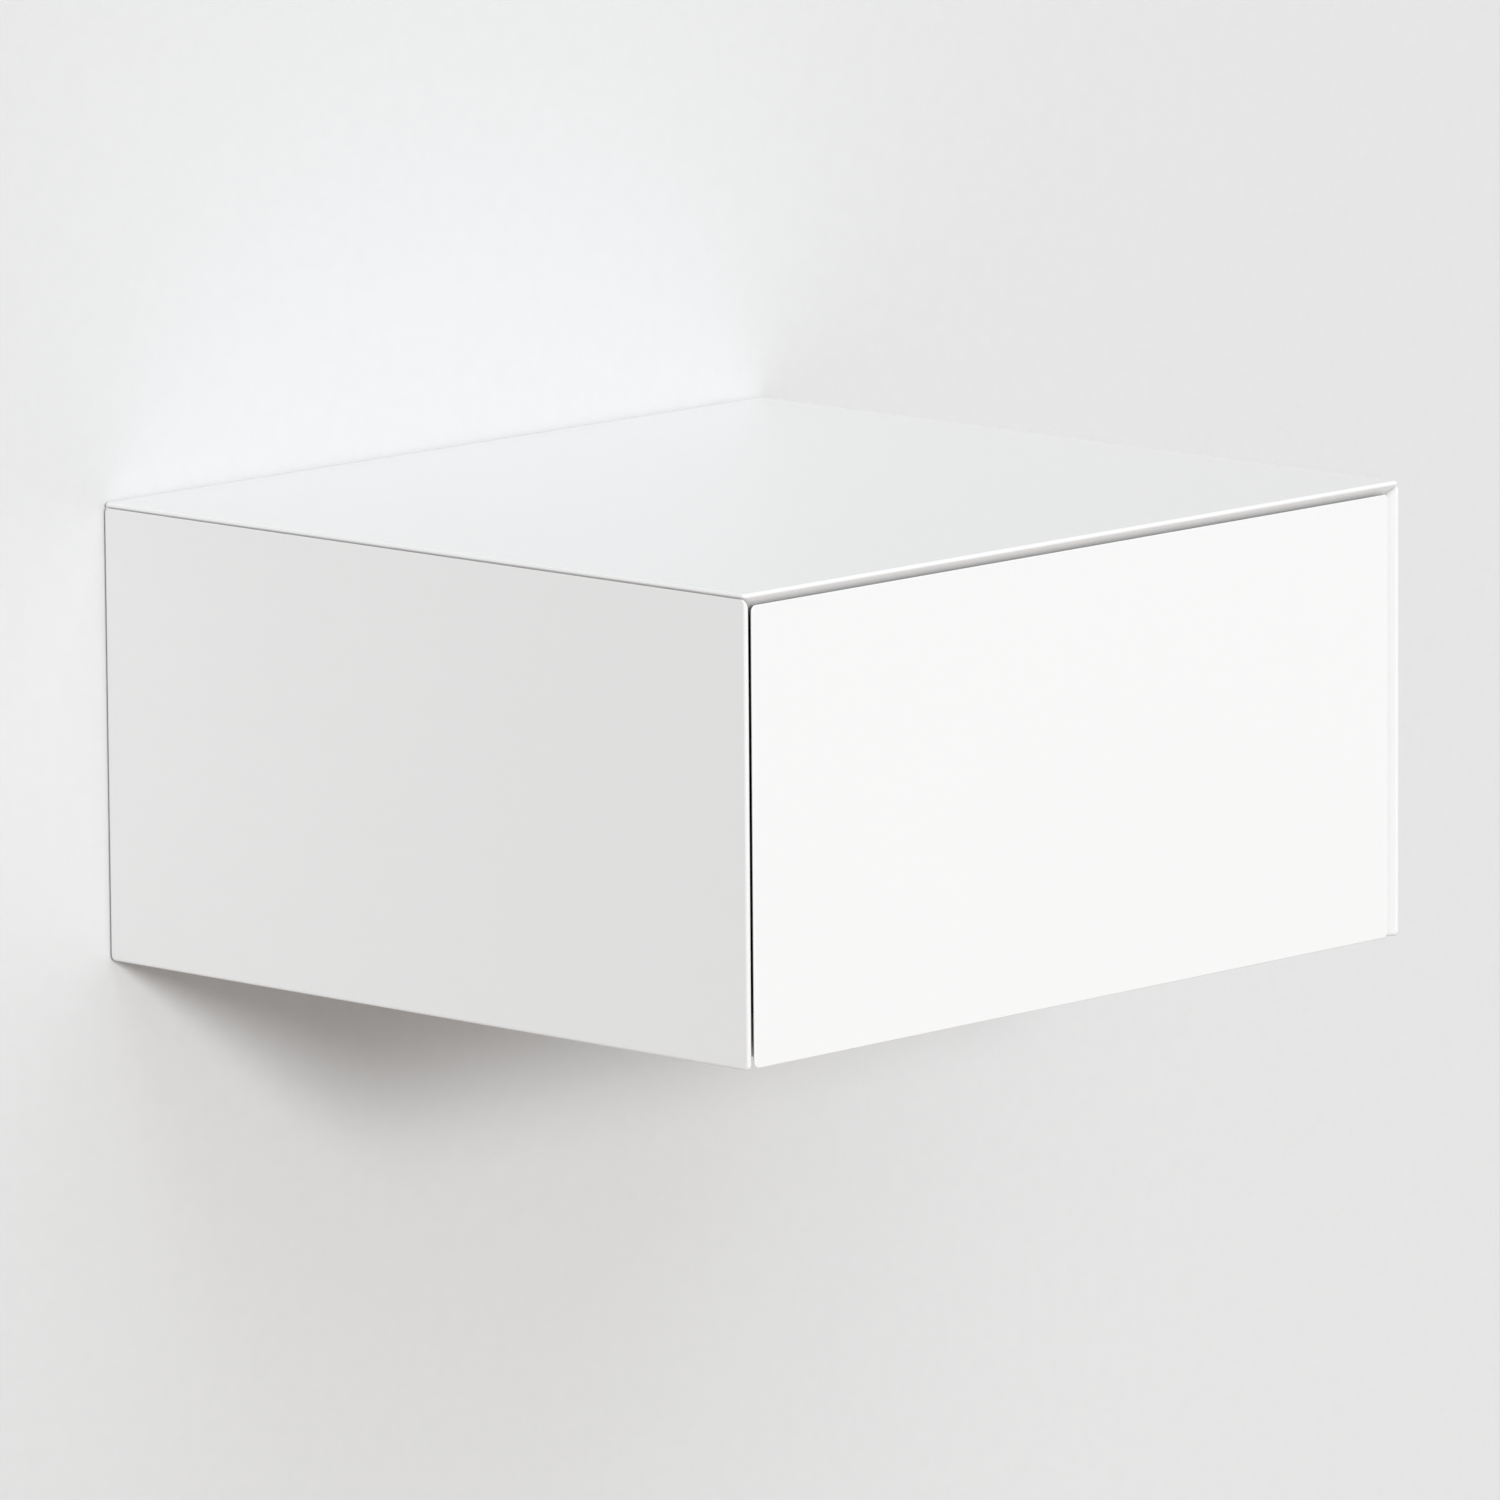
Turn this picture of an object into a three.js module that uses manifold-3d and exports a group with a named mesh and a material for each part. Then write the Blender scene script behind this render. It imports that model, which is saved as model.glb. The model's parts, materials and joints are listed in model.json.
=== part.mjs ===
// Floating nightstand: a mitred, lacquered box with one handleless drawer, hung on a wall cleat.
// Millimetres. +X is to the right seen from the front, the front faces -Y and +Z is up.
// The wall is the plane y = 0. Heights are measured from the case's underside, and the whole
// assembly is then lowered until the origin is the middle of the wall cleat's rear face.

import * as THREE from 'three';
import { mergeVertices } from 'three/addons/utils/BufferGeometryUtils.js';
import Module from 'manifold-3d';

const wasm = await Module();
wasm.setup();

// Case
const CASE_WIDTH = 400;
const CASE_DEPTH = 370; // wall to the rounded front arris
const CASE_HEIGHT = 195;
const PANEL_THICKNESS = 18;
const ARRIS_RADIUS = 1.25;
const PANEL_CORNER_RADIUS = 2;
const MITRE_LAND = 1.5; // the top laps this far down over the sides before the mitre starts
const MITRE_EASING = 0.5; // groove left along the mitre on the sides
const BACK_THICKNESS = 8;
const BACK_RECESS = 18; // wall to the back panel's rear face
const BACK_GROOVE_DEPTH = 6;

// Wall cleat and the rail that hooks on it
const CLEAT_THICKNESS = 16;
const CLEAT_HEIGHT = 34; // along the wall, without the hooked lip
const CLEAT_END_PLAY = 7; // to each side, to shift the case sideways
const RAIL_THICKNESS = 16;
const RAIL_HEIGHT = 62;
const CLEAT_HOLE_RADIUS = 2.75;
const CLEAT_SINK_RADIUS = 5.5;
const CLEAT_SINK_DEPTH = 3;
const CLEAT_HOLE_SHARES = [-0.86, -0.36, 0.36, 0.86]; // of half the cleat's length

// Drawer front
const FRONT_THICKNESS = 16;
const FRONT_SIDE_REVEAL = 5.6; // outer face of the case's side to the edge of the front
const FRONT_TOP_REVEAL = 5.5;
const FRONT_SET_BACK = 1.5; // behind the case's arris
const FRONT_ARRIS_RADIUS = 0.5;
const FRONT_CORNER_RADIUS = 2.5;
const PUSH_TRAVEL = 1.2; // a press on the front sets the latch free
const PUSH_CLEARANCE = 1; // still left behind the front when it is pressed in

// Drawer box
const BOX_THICKNESS = 12;
const BOX_TOP_CLEARANCE = 23;
const BOX_EDGE_RADIUS = 0.75;
const DRAWER_BOTTOM_THICKNESS = 5;
const DRAWER_BOTTOM_LIFT = 10; // lower edge of the box to the bottom's underside
const DRAWER_GROOVE_DEPTH = 6;

// Ball-bearing slides
const SLIDE_WIDTH = 12.75;
const SLIDE_HEIGHT = 45;
const SLIDE_STEP = 50; // slides are sold in these steps of length
const SLIDE_SHEET = 1.25;
const MIDDLE_SHEET = 1;
const SLIDE_BEND_RADIUS = 1.5;
const SLIDE_LIP = 3;
const SMALL_LIP = 1;
const SLIDE_WEB_GAP = 1.5; // between the webs of the case and middle members
const SLIDE_FACE_GAP = 1; // from the case member's lips to the drawer
const MIDDLE_SETBACK = 5; // of the middle member's two ends from the case member's
const MIDDLE_TRAVEL_SHARE = 0.5; // of the drawer's travel
const OUTER_CAGE_TRAVEL_SHARE = 0.25;
const INNER_CAGE_TRAVEL_SHARE = 0.75;
const OUTER_BALL_RADIUS = 1.9;
const INNER_BALL_RADIUS = 1.6;
const BALL_CLEARANCE = 0.3;
const BALLS_PER_ROW = 5;
const CAGE_SHEET = 0.5;
const CAGE_LENGTH = 110;
const CAGE_GAP = 0.4; // from the inner cage's web to the middle member's
const CAGE_EDGE = 2.2; // of the cage beyond its balls' centres
const SLOT_LENGTH = 9;
const SLOT_HEIGHT = 4.5;
const SLIDE_SLOT_SHARES = [0.22, 0.7]; // of the slide's length, from the front
const SLIDE_SCREW_SHARES = [0.12, 0.5, 0.88];

// Screws
const SCREW_HEAD_RADIUS = 3.5;
const SCREW_HEAD_DEPTH = 2.25;
const SCREW_RIM = 0.4;
const SCREW_SHANK_RADIUS = 1.75;
const SCREW_POINT_LENGTH = 3;
const SCREW_TIP_RADIUS = 0.4;
const CASE_SCREW_LENGTH = 15;
const DRAWER_SCREW_LENGTH = 11;
const FRONT_SCREW_LENGTH = 26;
const FRONT_SCREW_X_SHARES = [-0.62, 0.62]; // of half the inner front's width
const FRONT_SCREW_Z_SHARES = [0.3, 0.75]; // of the inner front's height

// Push latch
const LATCH_WIDTH = 24;
const LATCH_HEIGHT = 12.75;
const LATCH_LENGTH = 70;
const LATCH_EDGE_RADIUS = 2;
const LATCH_SETBACK = 2; // behind the bottom panel's front edge
const LATCH_HEADROOM = 3; // from the latch to the drawer box above it
const LATCH_EAR_WIDTH = 11;
const LATCH_EAR_LENGTH = 14;
const LATCH_EAR_THICKNESS = 3;
const LATCH_EAR_SHARE = 0.62; // place of the ears along the housing, from its front
const LATCH_SCREW_LENGTH = 13;
const PLUNGER_RADIUS = 4;
const PLUNGER_LENGTH = 52;
const PLUNGER_NOSE_RADIUS = 1;
const PLUNGER_REST_GAP = 1.45; // to the strike plate; a press takes up most of it
const PLUNGER_BORE_SPARE = 3; // depth of the bore behind the plunger
const STRIKE_RADIUS = 5.5;
const STRIKE_THICKNESS = 1;

// General
const SEAT_GAP = 0.25; // glue line or film of lacquer between pieces that rest on each other
const CUT_OVERRUN = 2;
const ARRIS_STEPS = 6; // facets round a bevelled arris
const CORNER_STEPS = 3;
const BOARD_STEPS = 2;
const BEND_STEPS = 3;
const SCREW_SIDES = 8;
const HOLE_SIDES = 16;
const PLUNGER_SIDES = 20;
const BALL_SIDES = 6;
const BALL_RINGS = 4;

// Places that several pieces share
const halfWidth = CASE_WIDTH / 2;
const innerHalf = halfWidth - PANEL_THICKNESS;
const innerTop = CASE_HEIGHT - PANEL_THICKNESS;
const caseFront = -CASE_DEPTH;
const frontFace = caseFront + FRONT_SET_BACK;
const frontRear = frontFace + FRONT_THICKNESS;
const pushStop = frontRear + PUSH_TRAVEL + PUSH_CLEARANCE;
const backRear = -BACK_RECESS;
const backFront = backRear - BACK_THICKNESS;
const boxFront = frontRear + SEAT_GAP;
const slideLength = Math.floor((backFront - pushStop) / SLIDE_STEP) * SLIDE_STEP;
const boxRear = boxFront + slideLength;
const boxHalf = innerHalf - SEAT_GAP - SLIDE_WIDTH - SEAT_GAP;
const boxLow = PANEL_THICKNESS + SEAT_GAP + LATCH_HEIGHT + LATCH_HEADROOM;
const boxHigh = innerTop - BOX_TOP_CLEARANCE;
const slideMiddle = (boxLow + boxHigh) / 2;
const slideRear = pushStop + slideLength;
const cleatTop = innerTop - SEAT_GAP - RAIL_HEIGHT; // where the cleat's bevel meets the wall
const cleatMiddle = cleatTop - CLEAT_HEIGHT / 2;

// Materials
function finish(color, roughness, metalness) {
  return () => new THREE.MeshStandardMaterial({ color, roughness, metalness });
}
const whiteLacquer = finish(0xf1f1ef, 0.38, 0);
const drawerBoard = finish(0xe6e4df, 0.6, 0);
const rawBoard = finish(0xb99a74, 0.85, 0);
const zincSteel = finish(0xb9bcc0, 0.35, 1);
const cageSteel = finish(0x8d9094, 0.4, 1);
const screwSteel = finish(0xc9c6bd, 0.3, 1);
const greyPlastic = finish(0x8f9396, 0.55, 0);
const darkPlastic = finish(0x2c2d2f, 0.5, 0);

const nightstand = new THREE.Group();
const backwards = new THREE.Vector3(0, 1, 0);
const forwards = new THREE.Vector3(0, -1, 0);
const downwards = new THREE.Vector3(0, 0, -1);

function addPiece(name, geometry, material) {
  const piece = new THREE.Mesh(geometry, material());
  piece.name = name;
  nightstand.add(piece);
  return piece;
}

// Joining and cutting
function solidOf(geometry) {
  const bare = geometry.clone();
  bare.deleteAttribute('normal');
  bare.deleteAttribute('uv');
  const merged = mergeVertices(bare);
  const index = merged.index.array;
  const triangles = [];
  for (let i = 0; i < index.length; i += 3) {
    const [a, b, c] = [index[i], index[i + 1], index[i + 2]];
    if (a !== b && b !== c && c !== a) triangles.push(a, b, c);
  }
  return new wasm.Manifold(new wasm.Mesh({
    numProp: 3,
    vertProperties: new Float32Array(merged.attributes.position.array),
    triVerts: new Uint32Array(triangles),
  }));
}

function geometryOf(solid) {
  const mesh = solid.getMesh();
  const geometry = new THREE.BufferGeometry();
  geometry.setAttribute('position', new THREE.BufferAttribute(mesh.vertProperties, 3));
  geometry.setIndex(new THREE.BufferAttribute(mesh.triVerts, 1));
  geometry.computeVertexNormals();
  return geometry;
}

function cut(geometry, cutters) {
  let solid = solidOf(geometry);
  for (const cutter of cutters) solid = solid.subtract(solidOf(cutter));
  return geometryOf(solid);
}

function join(geometry, additions) {
  let solid = solidOf(geometry);
  for (const addition of additions) solid = solid.add(solidOf(addition));
  return geometryOf(solid);
}

// Forms

// A box between two corners.
function block([x0, x1], [y0, y1], [z0, z1]) {
  const geometry = new THREE.BoxGeometry(x1 - x0, y1 - y0, z1 - z0);
  return geometry.translate((x0 + x1) / 2, (y0 + y1) / 2, (z0 + z1) / 2);
}

// A closed surface through rings that have the same number of points, each ring convex.
function ringSurface(rings) {
  const count = rings[0].length;
  const positions = rings.flat().flatMap((point) => point.toArray());
  const index = [];
  for (let ring = 0; ring + 1 < rings.length; ring += 1) {
    for (let side = 0; side < count; side += 1) {
      const a = ring * count + side;
      const b = ring * count + ((side + 1) % count);
      index.push(a, b, b + count, a, b + count, a + count);
    }
  }
  const last = (rings.length - 1) * count;
  for (let side = 1; side + 1 < count; side += 1) {
    index.push(0, side + 1, side);
    index.push(last, last + side, last + side + 1);
  }
  const geometry = new THREE.BufferGeometry();
  geometry.setAttribute('position', new THREE.Float32BufferAttribute(positions, 3));
  geometry.setIndex(enclosedVolume(positions, index) < 0 ? index.toReversed() : index);
  geometry.computeVertexNormals();
  return geometry;
}

function enclosedVolume(positions, index) {
  const corner = (i) => new THREE.Vector3().fromArray(positions, index[i] * 3);
  let volume = 0;
  for (let i = 0; i < index.length; i += 3) {
    volume += corner(i).dot(corner(i + 1).cross(corner(i + 2)));
  }
  return volume;
}

// A rectangle with rounded corners, as points counter-clockwise.
function roundedRectangle([u0, u1], [v0, v1], radius, steps) {
  const centres = [
    [u1 - radius, v0 + radius, -Math.PI / 2],
    [u1 - radius, v1 - radius, 0],
    [u0 + radius, v1 - radius, Math.PI / 2],
    [u0 + radius, v0 + radius, Math.PI],
  ];
  const points = [];
  for (const [u, v, start] of centres) {
    for (let step = 0; step <= steps; step += 1) {
      const angle = start + (step / steps) * (Math.PI / 2);
      points.push([u + radius * Math.cos(angle), v + radius * Math.sin(angle)]);
    }
  }
  return points;
}

// Edge profiles: how far an edge stands in from the outline at a depth below the plate's face.
function roundedEdge(radius) {
  return (depth) => (depth < radius ? radius - Math.sqrt(radius ** 2 - (radius - depth) ** 2) : 0);
}

// A knife edge: the face turns round an arris and runs back at 45 degrees under itself.
function bevelledEdge(radius) {
  const arrisDepth = radius * (1 + Math.SQRT1_2);
  return (depth) => {
    if (depth > arrisDepth) return depth - radius * Math.SQRT2;
    return radius - Math.sqrt(radius ** 2 - (radius - depth) ** 2);
  };
}

// The top's mitred ends: a rounded arris, a short upright land, then the mitre.
function mitredEdge(radius, land) {
  const arris = roundedEdge(radius);
  return (depth) => (depth < land ? arris(depth) : depth - land);
}

// The sides' mitred upper edges stand a glue line under the top's mitre, eased at the outside.
function easedMitreEdge(depth) {
  return Math.max(depth, MITRE_EASING);
}

function arrisDepths(radius, turn, steps) {
  const depths = [];
  for (let step = 0; step <= steps; step += 1) {
    depths.push(radius * (1 - Math.cos((step / steps) * turn)));
  }
  return depths;
}

// A plate whose four edges follow their own profiles; place() turns (u, v, depth) into a point.
function profiledPlate({ u, v, edges, depths, cornerRadius, cornerSteps, place }) {
  const sorted = [...new Set(depths)].sort((a, b) => a - b);
  return ringSurface(sorted.map((depth) => {
    const uSpan = [u[0] + edges.uLow(depth), u[1] - edges.uHigh(depth)];
    const vSpan = [v[0] + edges.vLow(depth), v[1] - edges.vHigh(depth)];
    const outline = roundedRectangle(uSpan, vSpan, cornerRadius, cornerSteps);
    return outline.map(([pu, pv]) => place(pu, pv, depth));
  }));
}

// A board with all its long edges slightly rounded, standing between two corners.
function board(xSpan, ySpan, zSpan, radius = BOX_EDGE_RADIUS) {
  const spans = [xSpan, ySpan, zSpan];
  const extents = spans.map(([low, high]) => high - low);
  const thin = extents.indexOf(Math.min(...extents));
  const [a, b] = [0, 1, 2].filter((axis) => axis !== thin);
  const thickness = extents[thin];
  const edge = roundedEdge(radius);
  const profile = (depth) => edge(Math.min(depth, thickness - depth));
  const near = arrisDepths(radius, Math.PI / 2, BOARD_STEPS);
  return profiledPlate({
    u: spans[a],
    v: spans[b],
    edges: { uLow: profile, uHigh: profile, vLow: profile, vHigh: profile },
    depths: [...near, ...near.map((depth) => thickness - depth)],
    cornerRadius: radius,
    cornerSteps: BOARD_STEPS,
    place: (pu, pv, depth) => {
      const point = new THREE.Vector3();
      point.setComponent(a, pu);
      point.setComponent(b, pv);
      point.setComponent(thin, spans[thin][0] + depth);
      return point;
    },
  });
}

// An outline in x and z carried from yRear towards the front.
function extrudeForward(points, yRear, length) {
  const shape = new THREE.Shape(points.map(([x, z]) => new THREE.Vector2(x, z)));
  const geometry = new THREE.ExtrudeGeometry(shape, { depth: length, bevelEnabled: false });
  const turn = new THREE.Matrix4().makeBasis(
    new THREE.Vector3(1, 0, 0),
    new THREE.Vector3(0, 0, 1),
    new THREE.Vector3(0, -1, 0),
  );
  return geometry.applyMatrix4(turn).translate(0, yRear, 0);
}

// An outline in y and z carried across the case, even about its middle.
function extrudeAcross(points, halfLength) {
  const shape = new THREE.Shape(points.map(([y, z]) => new THREE.Vector2(y, z)));
  const geometry = new THREE.ExtrudeGeometry(shape, { depth: halfLength * 2, bevelEnabled: false });
  const turn = new THREE.Matrix4().makeBasis(
    new THREE.Vector3(0, 1, 0),
    new THREE.Vector3(0, 0, 1),
    new THREE.Vector3(1, 0, 0),
  );
  return geometry.applyMatrix4(turn).translate(-halfLength, 0, 0);
}

// The outline of a bent sheet: a centreline through the corners, rounded at each bend and offset
// half the sheet's thickness to both sides.
function sheetOutline(corners, thickness, bendRadius) {
  const path = corners.map(([u, v]) => new THREE.Vector2(u, v));
  const leftNormal = (from, to) => {
    const along = to.clone().sub(from).normalize();
    return new THREE.Vector2(-along.y, along.x);
  };
  const stations = [[path[0], leftNormal(path[0], path[1])]];
  for (let i = 1; i + 1 < path.length; i += 1) {
    const before = leftNormal(path[i - 1], path[i]);
    const after = leftNormal(path[i], path[i + 1]);
    const turn = Math.atan2(before.cross(after), before.dot(after));
    const side = Math.sign(turn);
    const reach = bendRadius * Math.tan(Math.abs(turn) / 2);
    const back = path[i - 1].clone().sub(path[i]).normalize().multiplyScalar(reach);
    const centre = path[i].clone().add(back).addScaledVector(before, bendRadius * side);
    for (let step = 0; step <= BEND_STEPS; step += 1) {
      const normal = before.clone().rotateAround(new THREE.Vector2(), (turn * step) / BEND_STEPS);
      stations.push([centre.clone().addScaledVector(normal, -bendRadius * side), normal]);
    }
  }
  const end = path.length - 1;
  stations.push([path[end], leftNormal(path[end - 1], path[end])]);
  const offset = (distance) => stations.map(([point, normal]) => {
    return point.clone().addScaledVector(normal, distance).toArray();
  });
  return [...offset(thickness / 2), ...offset(-thickness / 2).reverse()];
}

// A turned piece: (radius, distance) pairs revolved about an axis that starts at a point.
function turned(profile, start, direction, sides) {
  const points = profile.map(([radius, distance]) => new THREE.Vector2(radius, distance));
  const geometry = new THREE.LatheGeometry(points, sides);
  const turn = new THREE.Quaternion().setFromUnitVectors(new THREE.Vector3(0, 1, 0), direction);
  return geometry.applyQuaternion(turn).translate(...start);
}

// A countersunk screw with its head's face at the start, or its hole when a clearance is given.
function screwProfile(length, clearance = 0) {
  const mouth = clearance > 0 ? -CUT_OVERRUN : 0;
  return [
    [0, mouth],
    [SCREW_HEAD_RADIUS + clearance, mouth],
    [SCREW_HEAD_RADIUS + clearance, SCREW_RIM],
    [SCREW_SHANK_RADIUS + clearance, SCREW_HEAD_DEPTH],
    [SCREW_SHANK_RADIUS + clearance, length - SCREW_POINT_LENGTH],
    [SCREW_TIP_RADIUS + clearance, length + clearance],
    [0, length + clearance],
  ];
}

// Screws are named, and each is remembered with its hole so that the pieces it holds can be cut.
function makeScrew(name, length, start, direction) {
  addPiece(name, turned(screwProfile(length), start, direction, SCREW_SIDES), screwSteel);
  return turned(screwProfile(length, SEAT_GAP), start, direction, SCREW_SIDES);
}

// Ball-bearing slides. Across a slide, u runs from the case's side towards the drawer's.
const outerRaceHeight = SLIDE_HEIGHT / 2 - SLIDE_SHEET;
const outerBallHeight = outerRaceHeight - BALL_CLEARANCE - OUTER_BALL_RADIUS;
const middleFlange = outerBallHeight - OUTER_BALL_RADIUS - BALL_CLEARANCE - MIDDLE_SHEET / 2;
const innerBallHeight = middleFlange - MIDDLE_SHEET / 2 - BALL_CLEARANCE - INNER_BALL_RADIUS;
const innerFlange = innerBallHeight - INNER_BALL_RADIUS - BALL_CLEARANCE - SLIDE_SHEET / 2;
const outerLipPlace = SLIDE_WIDTH - SLIDE_FACE_GAP - SLIDE_SHEET / 2;
const middleWebPlace = SLIDE_SHEET + SLIDE_WEB_GAP + MIDDLE_SHEET / 2;
const middleLipPlace = outerLipPlace - SLIDE_SHEET / 2 - MIDDLE_SHEET / 2;
const innerCagePlace = middleWebPlace + MIDDLE_SHEET / 2 + CAGE_GAP + CAGE_SHEET / 2;
const innerLipPlace = innerCagePlace + CAGE_SHEET / 2 + CAGE_GAP + SLIDE_SHEET / 2;
const innerWebPlace = SLIDE_WIDTH - SLIDE_SHEET / 2;
const outerCagePlace = SLIDE_SHEET + SLIDE_WEB_GAP / 2;
const outerBallPlace = (middleWebPlace + middleLipPlace) / 2;
const innerBallPlace = (innerLipPlace + innerWebPlace) / 2;

// A section that is the same above and below: its upper half's corners from the outside in.
function evenSection(upperHalf) {
  return [...upperHalf, ...upperHalf.map(([u, v]) => [u, -v]).reverse()];
}

const caseSection = evenSection([
  [outerLipPlace, SLIDE_HEIGHT / 2 - SLIDE_SHEET / 2 - SLIDE_LIP],
  [outerLipPlace, SLIDE_HEIGHT / 2 - SLIDE_SHEET / 2],
  [SLIDE_SHEET / 2, SLIDE_HEIGHT / 2 - SLIDE_SHEET / 2],
]);
const middleSection = evenSection([
  [middleLipPlace, middleFlange + MIDDLE_SHEET / 2 + SMALL_LIP],
  [middleLipPlace, middleFlange],
  [middleWebPlace, middleFlange],
]);
const drawerSection = evenSection([
  [innerLipPlace, innerFlange + SLIDE_SHEET / 2 + SMALL_LIP],
  [innerLipPlace, innerFlange],
  [innerWebPlace, innerFlange],
]);
const outerCageSection = evenSection([
  [outerBallPlace + CAGE_EDGE, outerBallHeight],
  [outerCagePlace, outerBallHeight],
]);
const innerCageSection = evenSection([
  [innerBallPlace + CAGE_EDGE, innerBallHeight],
  [innerCagePlace, innerBallHeight],
]);

function slidePart(side, section, sheet, bendRadius, rear, length) {
  const across = (u) => side * (innerHalf - SEAT_GAP - u);
  const outline = sheetOutline(section, sheet, bendRadius);
  return extrudeForward(outline.map(([u, v]) => [across(u), slideMiddle + v]), rear, length);
}

// A slotted hole through one web, between two places across the slide.
function slotCutter(side, [u0, u1], yMiddle) {
  const ends = [u0, u1].map((u) => side * (innerHalf - SEAT_GAP - u)).sort((a, b) => a - b);
  return block(
    ends,
    [yMiddle - SLOT_LENGTH / 2, yMiddle + SLOT_LENGTH / 2],
    [slideMiddle - SLOT_HEIGHT / 2, slideMiddle + SLOT_HEIGHT / 2],
  );
}

// A cage: a bent strip that carries a row of balls above and a row below.
function ballCage(side, section, ballPlace, ballHeight, ballRadius, rear) {
  const strip = slidePart(side, section, CAGE_SHEET, CAGE_SHEET, rear, CAGE_LENGTH);
  const balls = [];
  for (const up of [-1, 1]) {
    for (let i = 0; i < BALLS_PER_ROW; i += 1) {
      const ball = new THREE.SphereGeometry(ballRadius, BALL_SIDES, BALL_RINGS);
      const share = (2 * i + 1) / (2 * BALLS_PER_ROW);
      const x = side * (innerHalf - SEAT_GAP - ballPlace);
      balls.push(ball.translate(x, rear - share * CAGE_LENGTH, slideMiddle + up * ballHeight));
    }
  }
  return join(strip, balls);
}

// With the drawer fully out, a cage stands in the middle of the stretch where the two members that
// it runs between still overlap. From there it is drawn back by its own share of the travel.
const middleFront = pushStop + MIDDLE_SETBACK;
const middleRear = slideRear - MIDDLE_SETBACK;
const middleTravel = slideLength * MIDDLE_TRAVEL_SHARE;
const outerOverlapMiddle = (pushStop + middleRear - middleTravel) / 2;
const innerOverlapMiddle = (middleFront - middleTravel + boxRear - slideLength) / 2;
const outerCageRear = outerOverlapMiddle + slideLength * OUTER_CAGE_TRAVEL_SHARE + CAGE_LENGTH / 2;
const innerCageRear = innerOverlapMiddle + slideLength * INNER_CAGE_TRAVEL_SHARE + CAGE_LENGTH / 2;

const sideHoles = new Map();
const boxSideHoles = new Map();

for (const side of [-1, 1]) {
  const hand = side < 0 ? 'left' : 'right';
  const across = (u) => side * (innerHalf - SEAT_GAP - u);
  const outward = new THREE.Vector3(side, 0, 0);
  const inward = new THREE.Vector3(-side, 0, 0);

  const caseHoles = SLIDE_SCREW_SHARES.map((share, i) => {
    const start = [across(SLIDE_SHEET), pushStop + share * slideLength, slideMiddle];
    return makeScrew(`${hand}_case_slide_screw_${i + 1}`, CASE_SCREW_LENGTH, start, outward);
  });
  const drawerHoles = SLIDE_SCREW_SHARES.map((share, i) => {
    const start = [across(SLIDE_WIDTH - SLIDE_SHEET), boxFront + share * slideLength, slideMiddle];
    return makeScrew(`${hand}_drawer_slide_screw_${i + 1}`, DRAWER_SCREW_LENGTH, start, inward);
  });
  sideHoles.set(side, caseHoles);
  boxSideHoles.set(side, drawerHoles);

  const caseSlots = SLIDE_SLOT_SHARES.map((share) => slotCutter(
    side,
    [-CUT_OVERRUN, SLIDE_SHEET + SLIDE_WEB_GAP / 2],
    pushStop + share * slideLength,
  ));
  const drawerSlots = SLIDE_SLOT_SHARES.map((share) => slotCutter(
    side,
    [SLIDE_WIDTH - SLIDE_SHEET - CUT_OVERRUN, SLIDE_WIDTH + CUT_OVERRUN],
    boxFront + share * slideLength,
  ));

  addPiece(
    `${hand}_slide_case_member`,
    cut(
      slidePart(side, caseSection, SLIDE_SHEET, SLIDE_BEND_RADIUS, slideRear, slideLength),
      [...caseHoles, ...caseSlots],
    ),
    zincSteel,
  );
  addPiece(
    `${hand}_slide_middle_member`,
    slidePart(side, middleSection, MIDDLE_SHEET, MIDDLE_SHEET, middleRear, middleRear - middleFront),
    zincSteel,
  );
  addPiece(
    `${hand}_slide_drawer_member`,
    cut(
      slidePart(side, drawerSection, SLIDE_SHEET, SLIDE_SHEET, boxRear, slideLength),
      [...drawerHoles, ...drawerSlots],
    ),
    zincSteel,
  );
  addPiece(
    `${hand}_slide_outer_ball_cage`,
    ballCage(side, outerCageSection, outerBallPlace, outerBallHeight, OUTER_BALL_RADIUS, outerCageRear),
    cageSteel,
  );
  addPiece(
    `${hand}_slide_inner_ball_cage`,
    ballCage(side, innerCageSection, innerBallPlace, innerBallHeight, INNER_BALL_RADIUS, innerCageRear),
    cageSteel,
  );
}

// Case panels
const frontBevel = bevelledEdge(ARRIS_RADIUS);
const bevelTurn = Math.PI / 2 + Math.PI / 4;
const panelDepths = [...arrisDepths(ARRIS_RADIUS, bevelTurn, ARRIS_STEPS), PANEL_THICKNESS];
const backGroove = [backFront - SEAT_GAP, backRear + SEAT_GAP];

function makeTop() {
  const plate = profiledPlate({
    u: [-halfWidth, halfWidth],
    v: [caseFront, 0],
    edges: {
      uLow: mitredEdge(ARRIS_RADIUS, MITRE_LAND),
      uHigh: mitredEdge(ARRIS_RADIUS, MITRE_LAND),
      vLow: frontBevel,
      vHigh: roundedEdge(ARRIS_RADIUS),
    },
    depths: [...panelDepths, MITRE_LAND],
    cornerRadius: PANEL_CORNER_RADIUS,
    cornerSteps: CORNER_STEPS,
    place: (x, y, depth) => new THREE.Vector3(x, y, CASE_HEIGHT - depth),
  });
  const reach = innerHalf + BACK_GROOVE_DEPTH;
  const groove = block([-reach, reach], backGroove, [innerTop - CUT_OVERRUN, innerTop + BACK_GROOVE_DEPTH]);
  addPiece('top_panel', cut(plate, [groove]), whiteLacquer);
}

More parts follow.
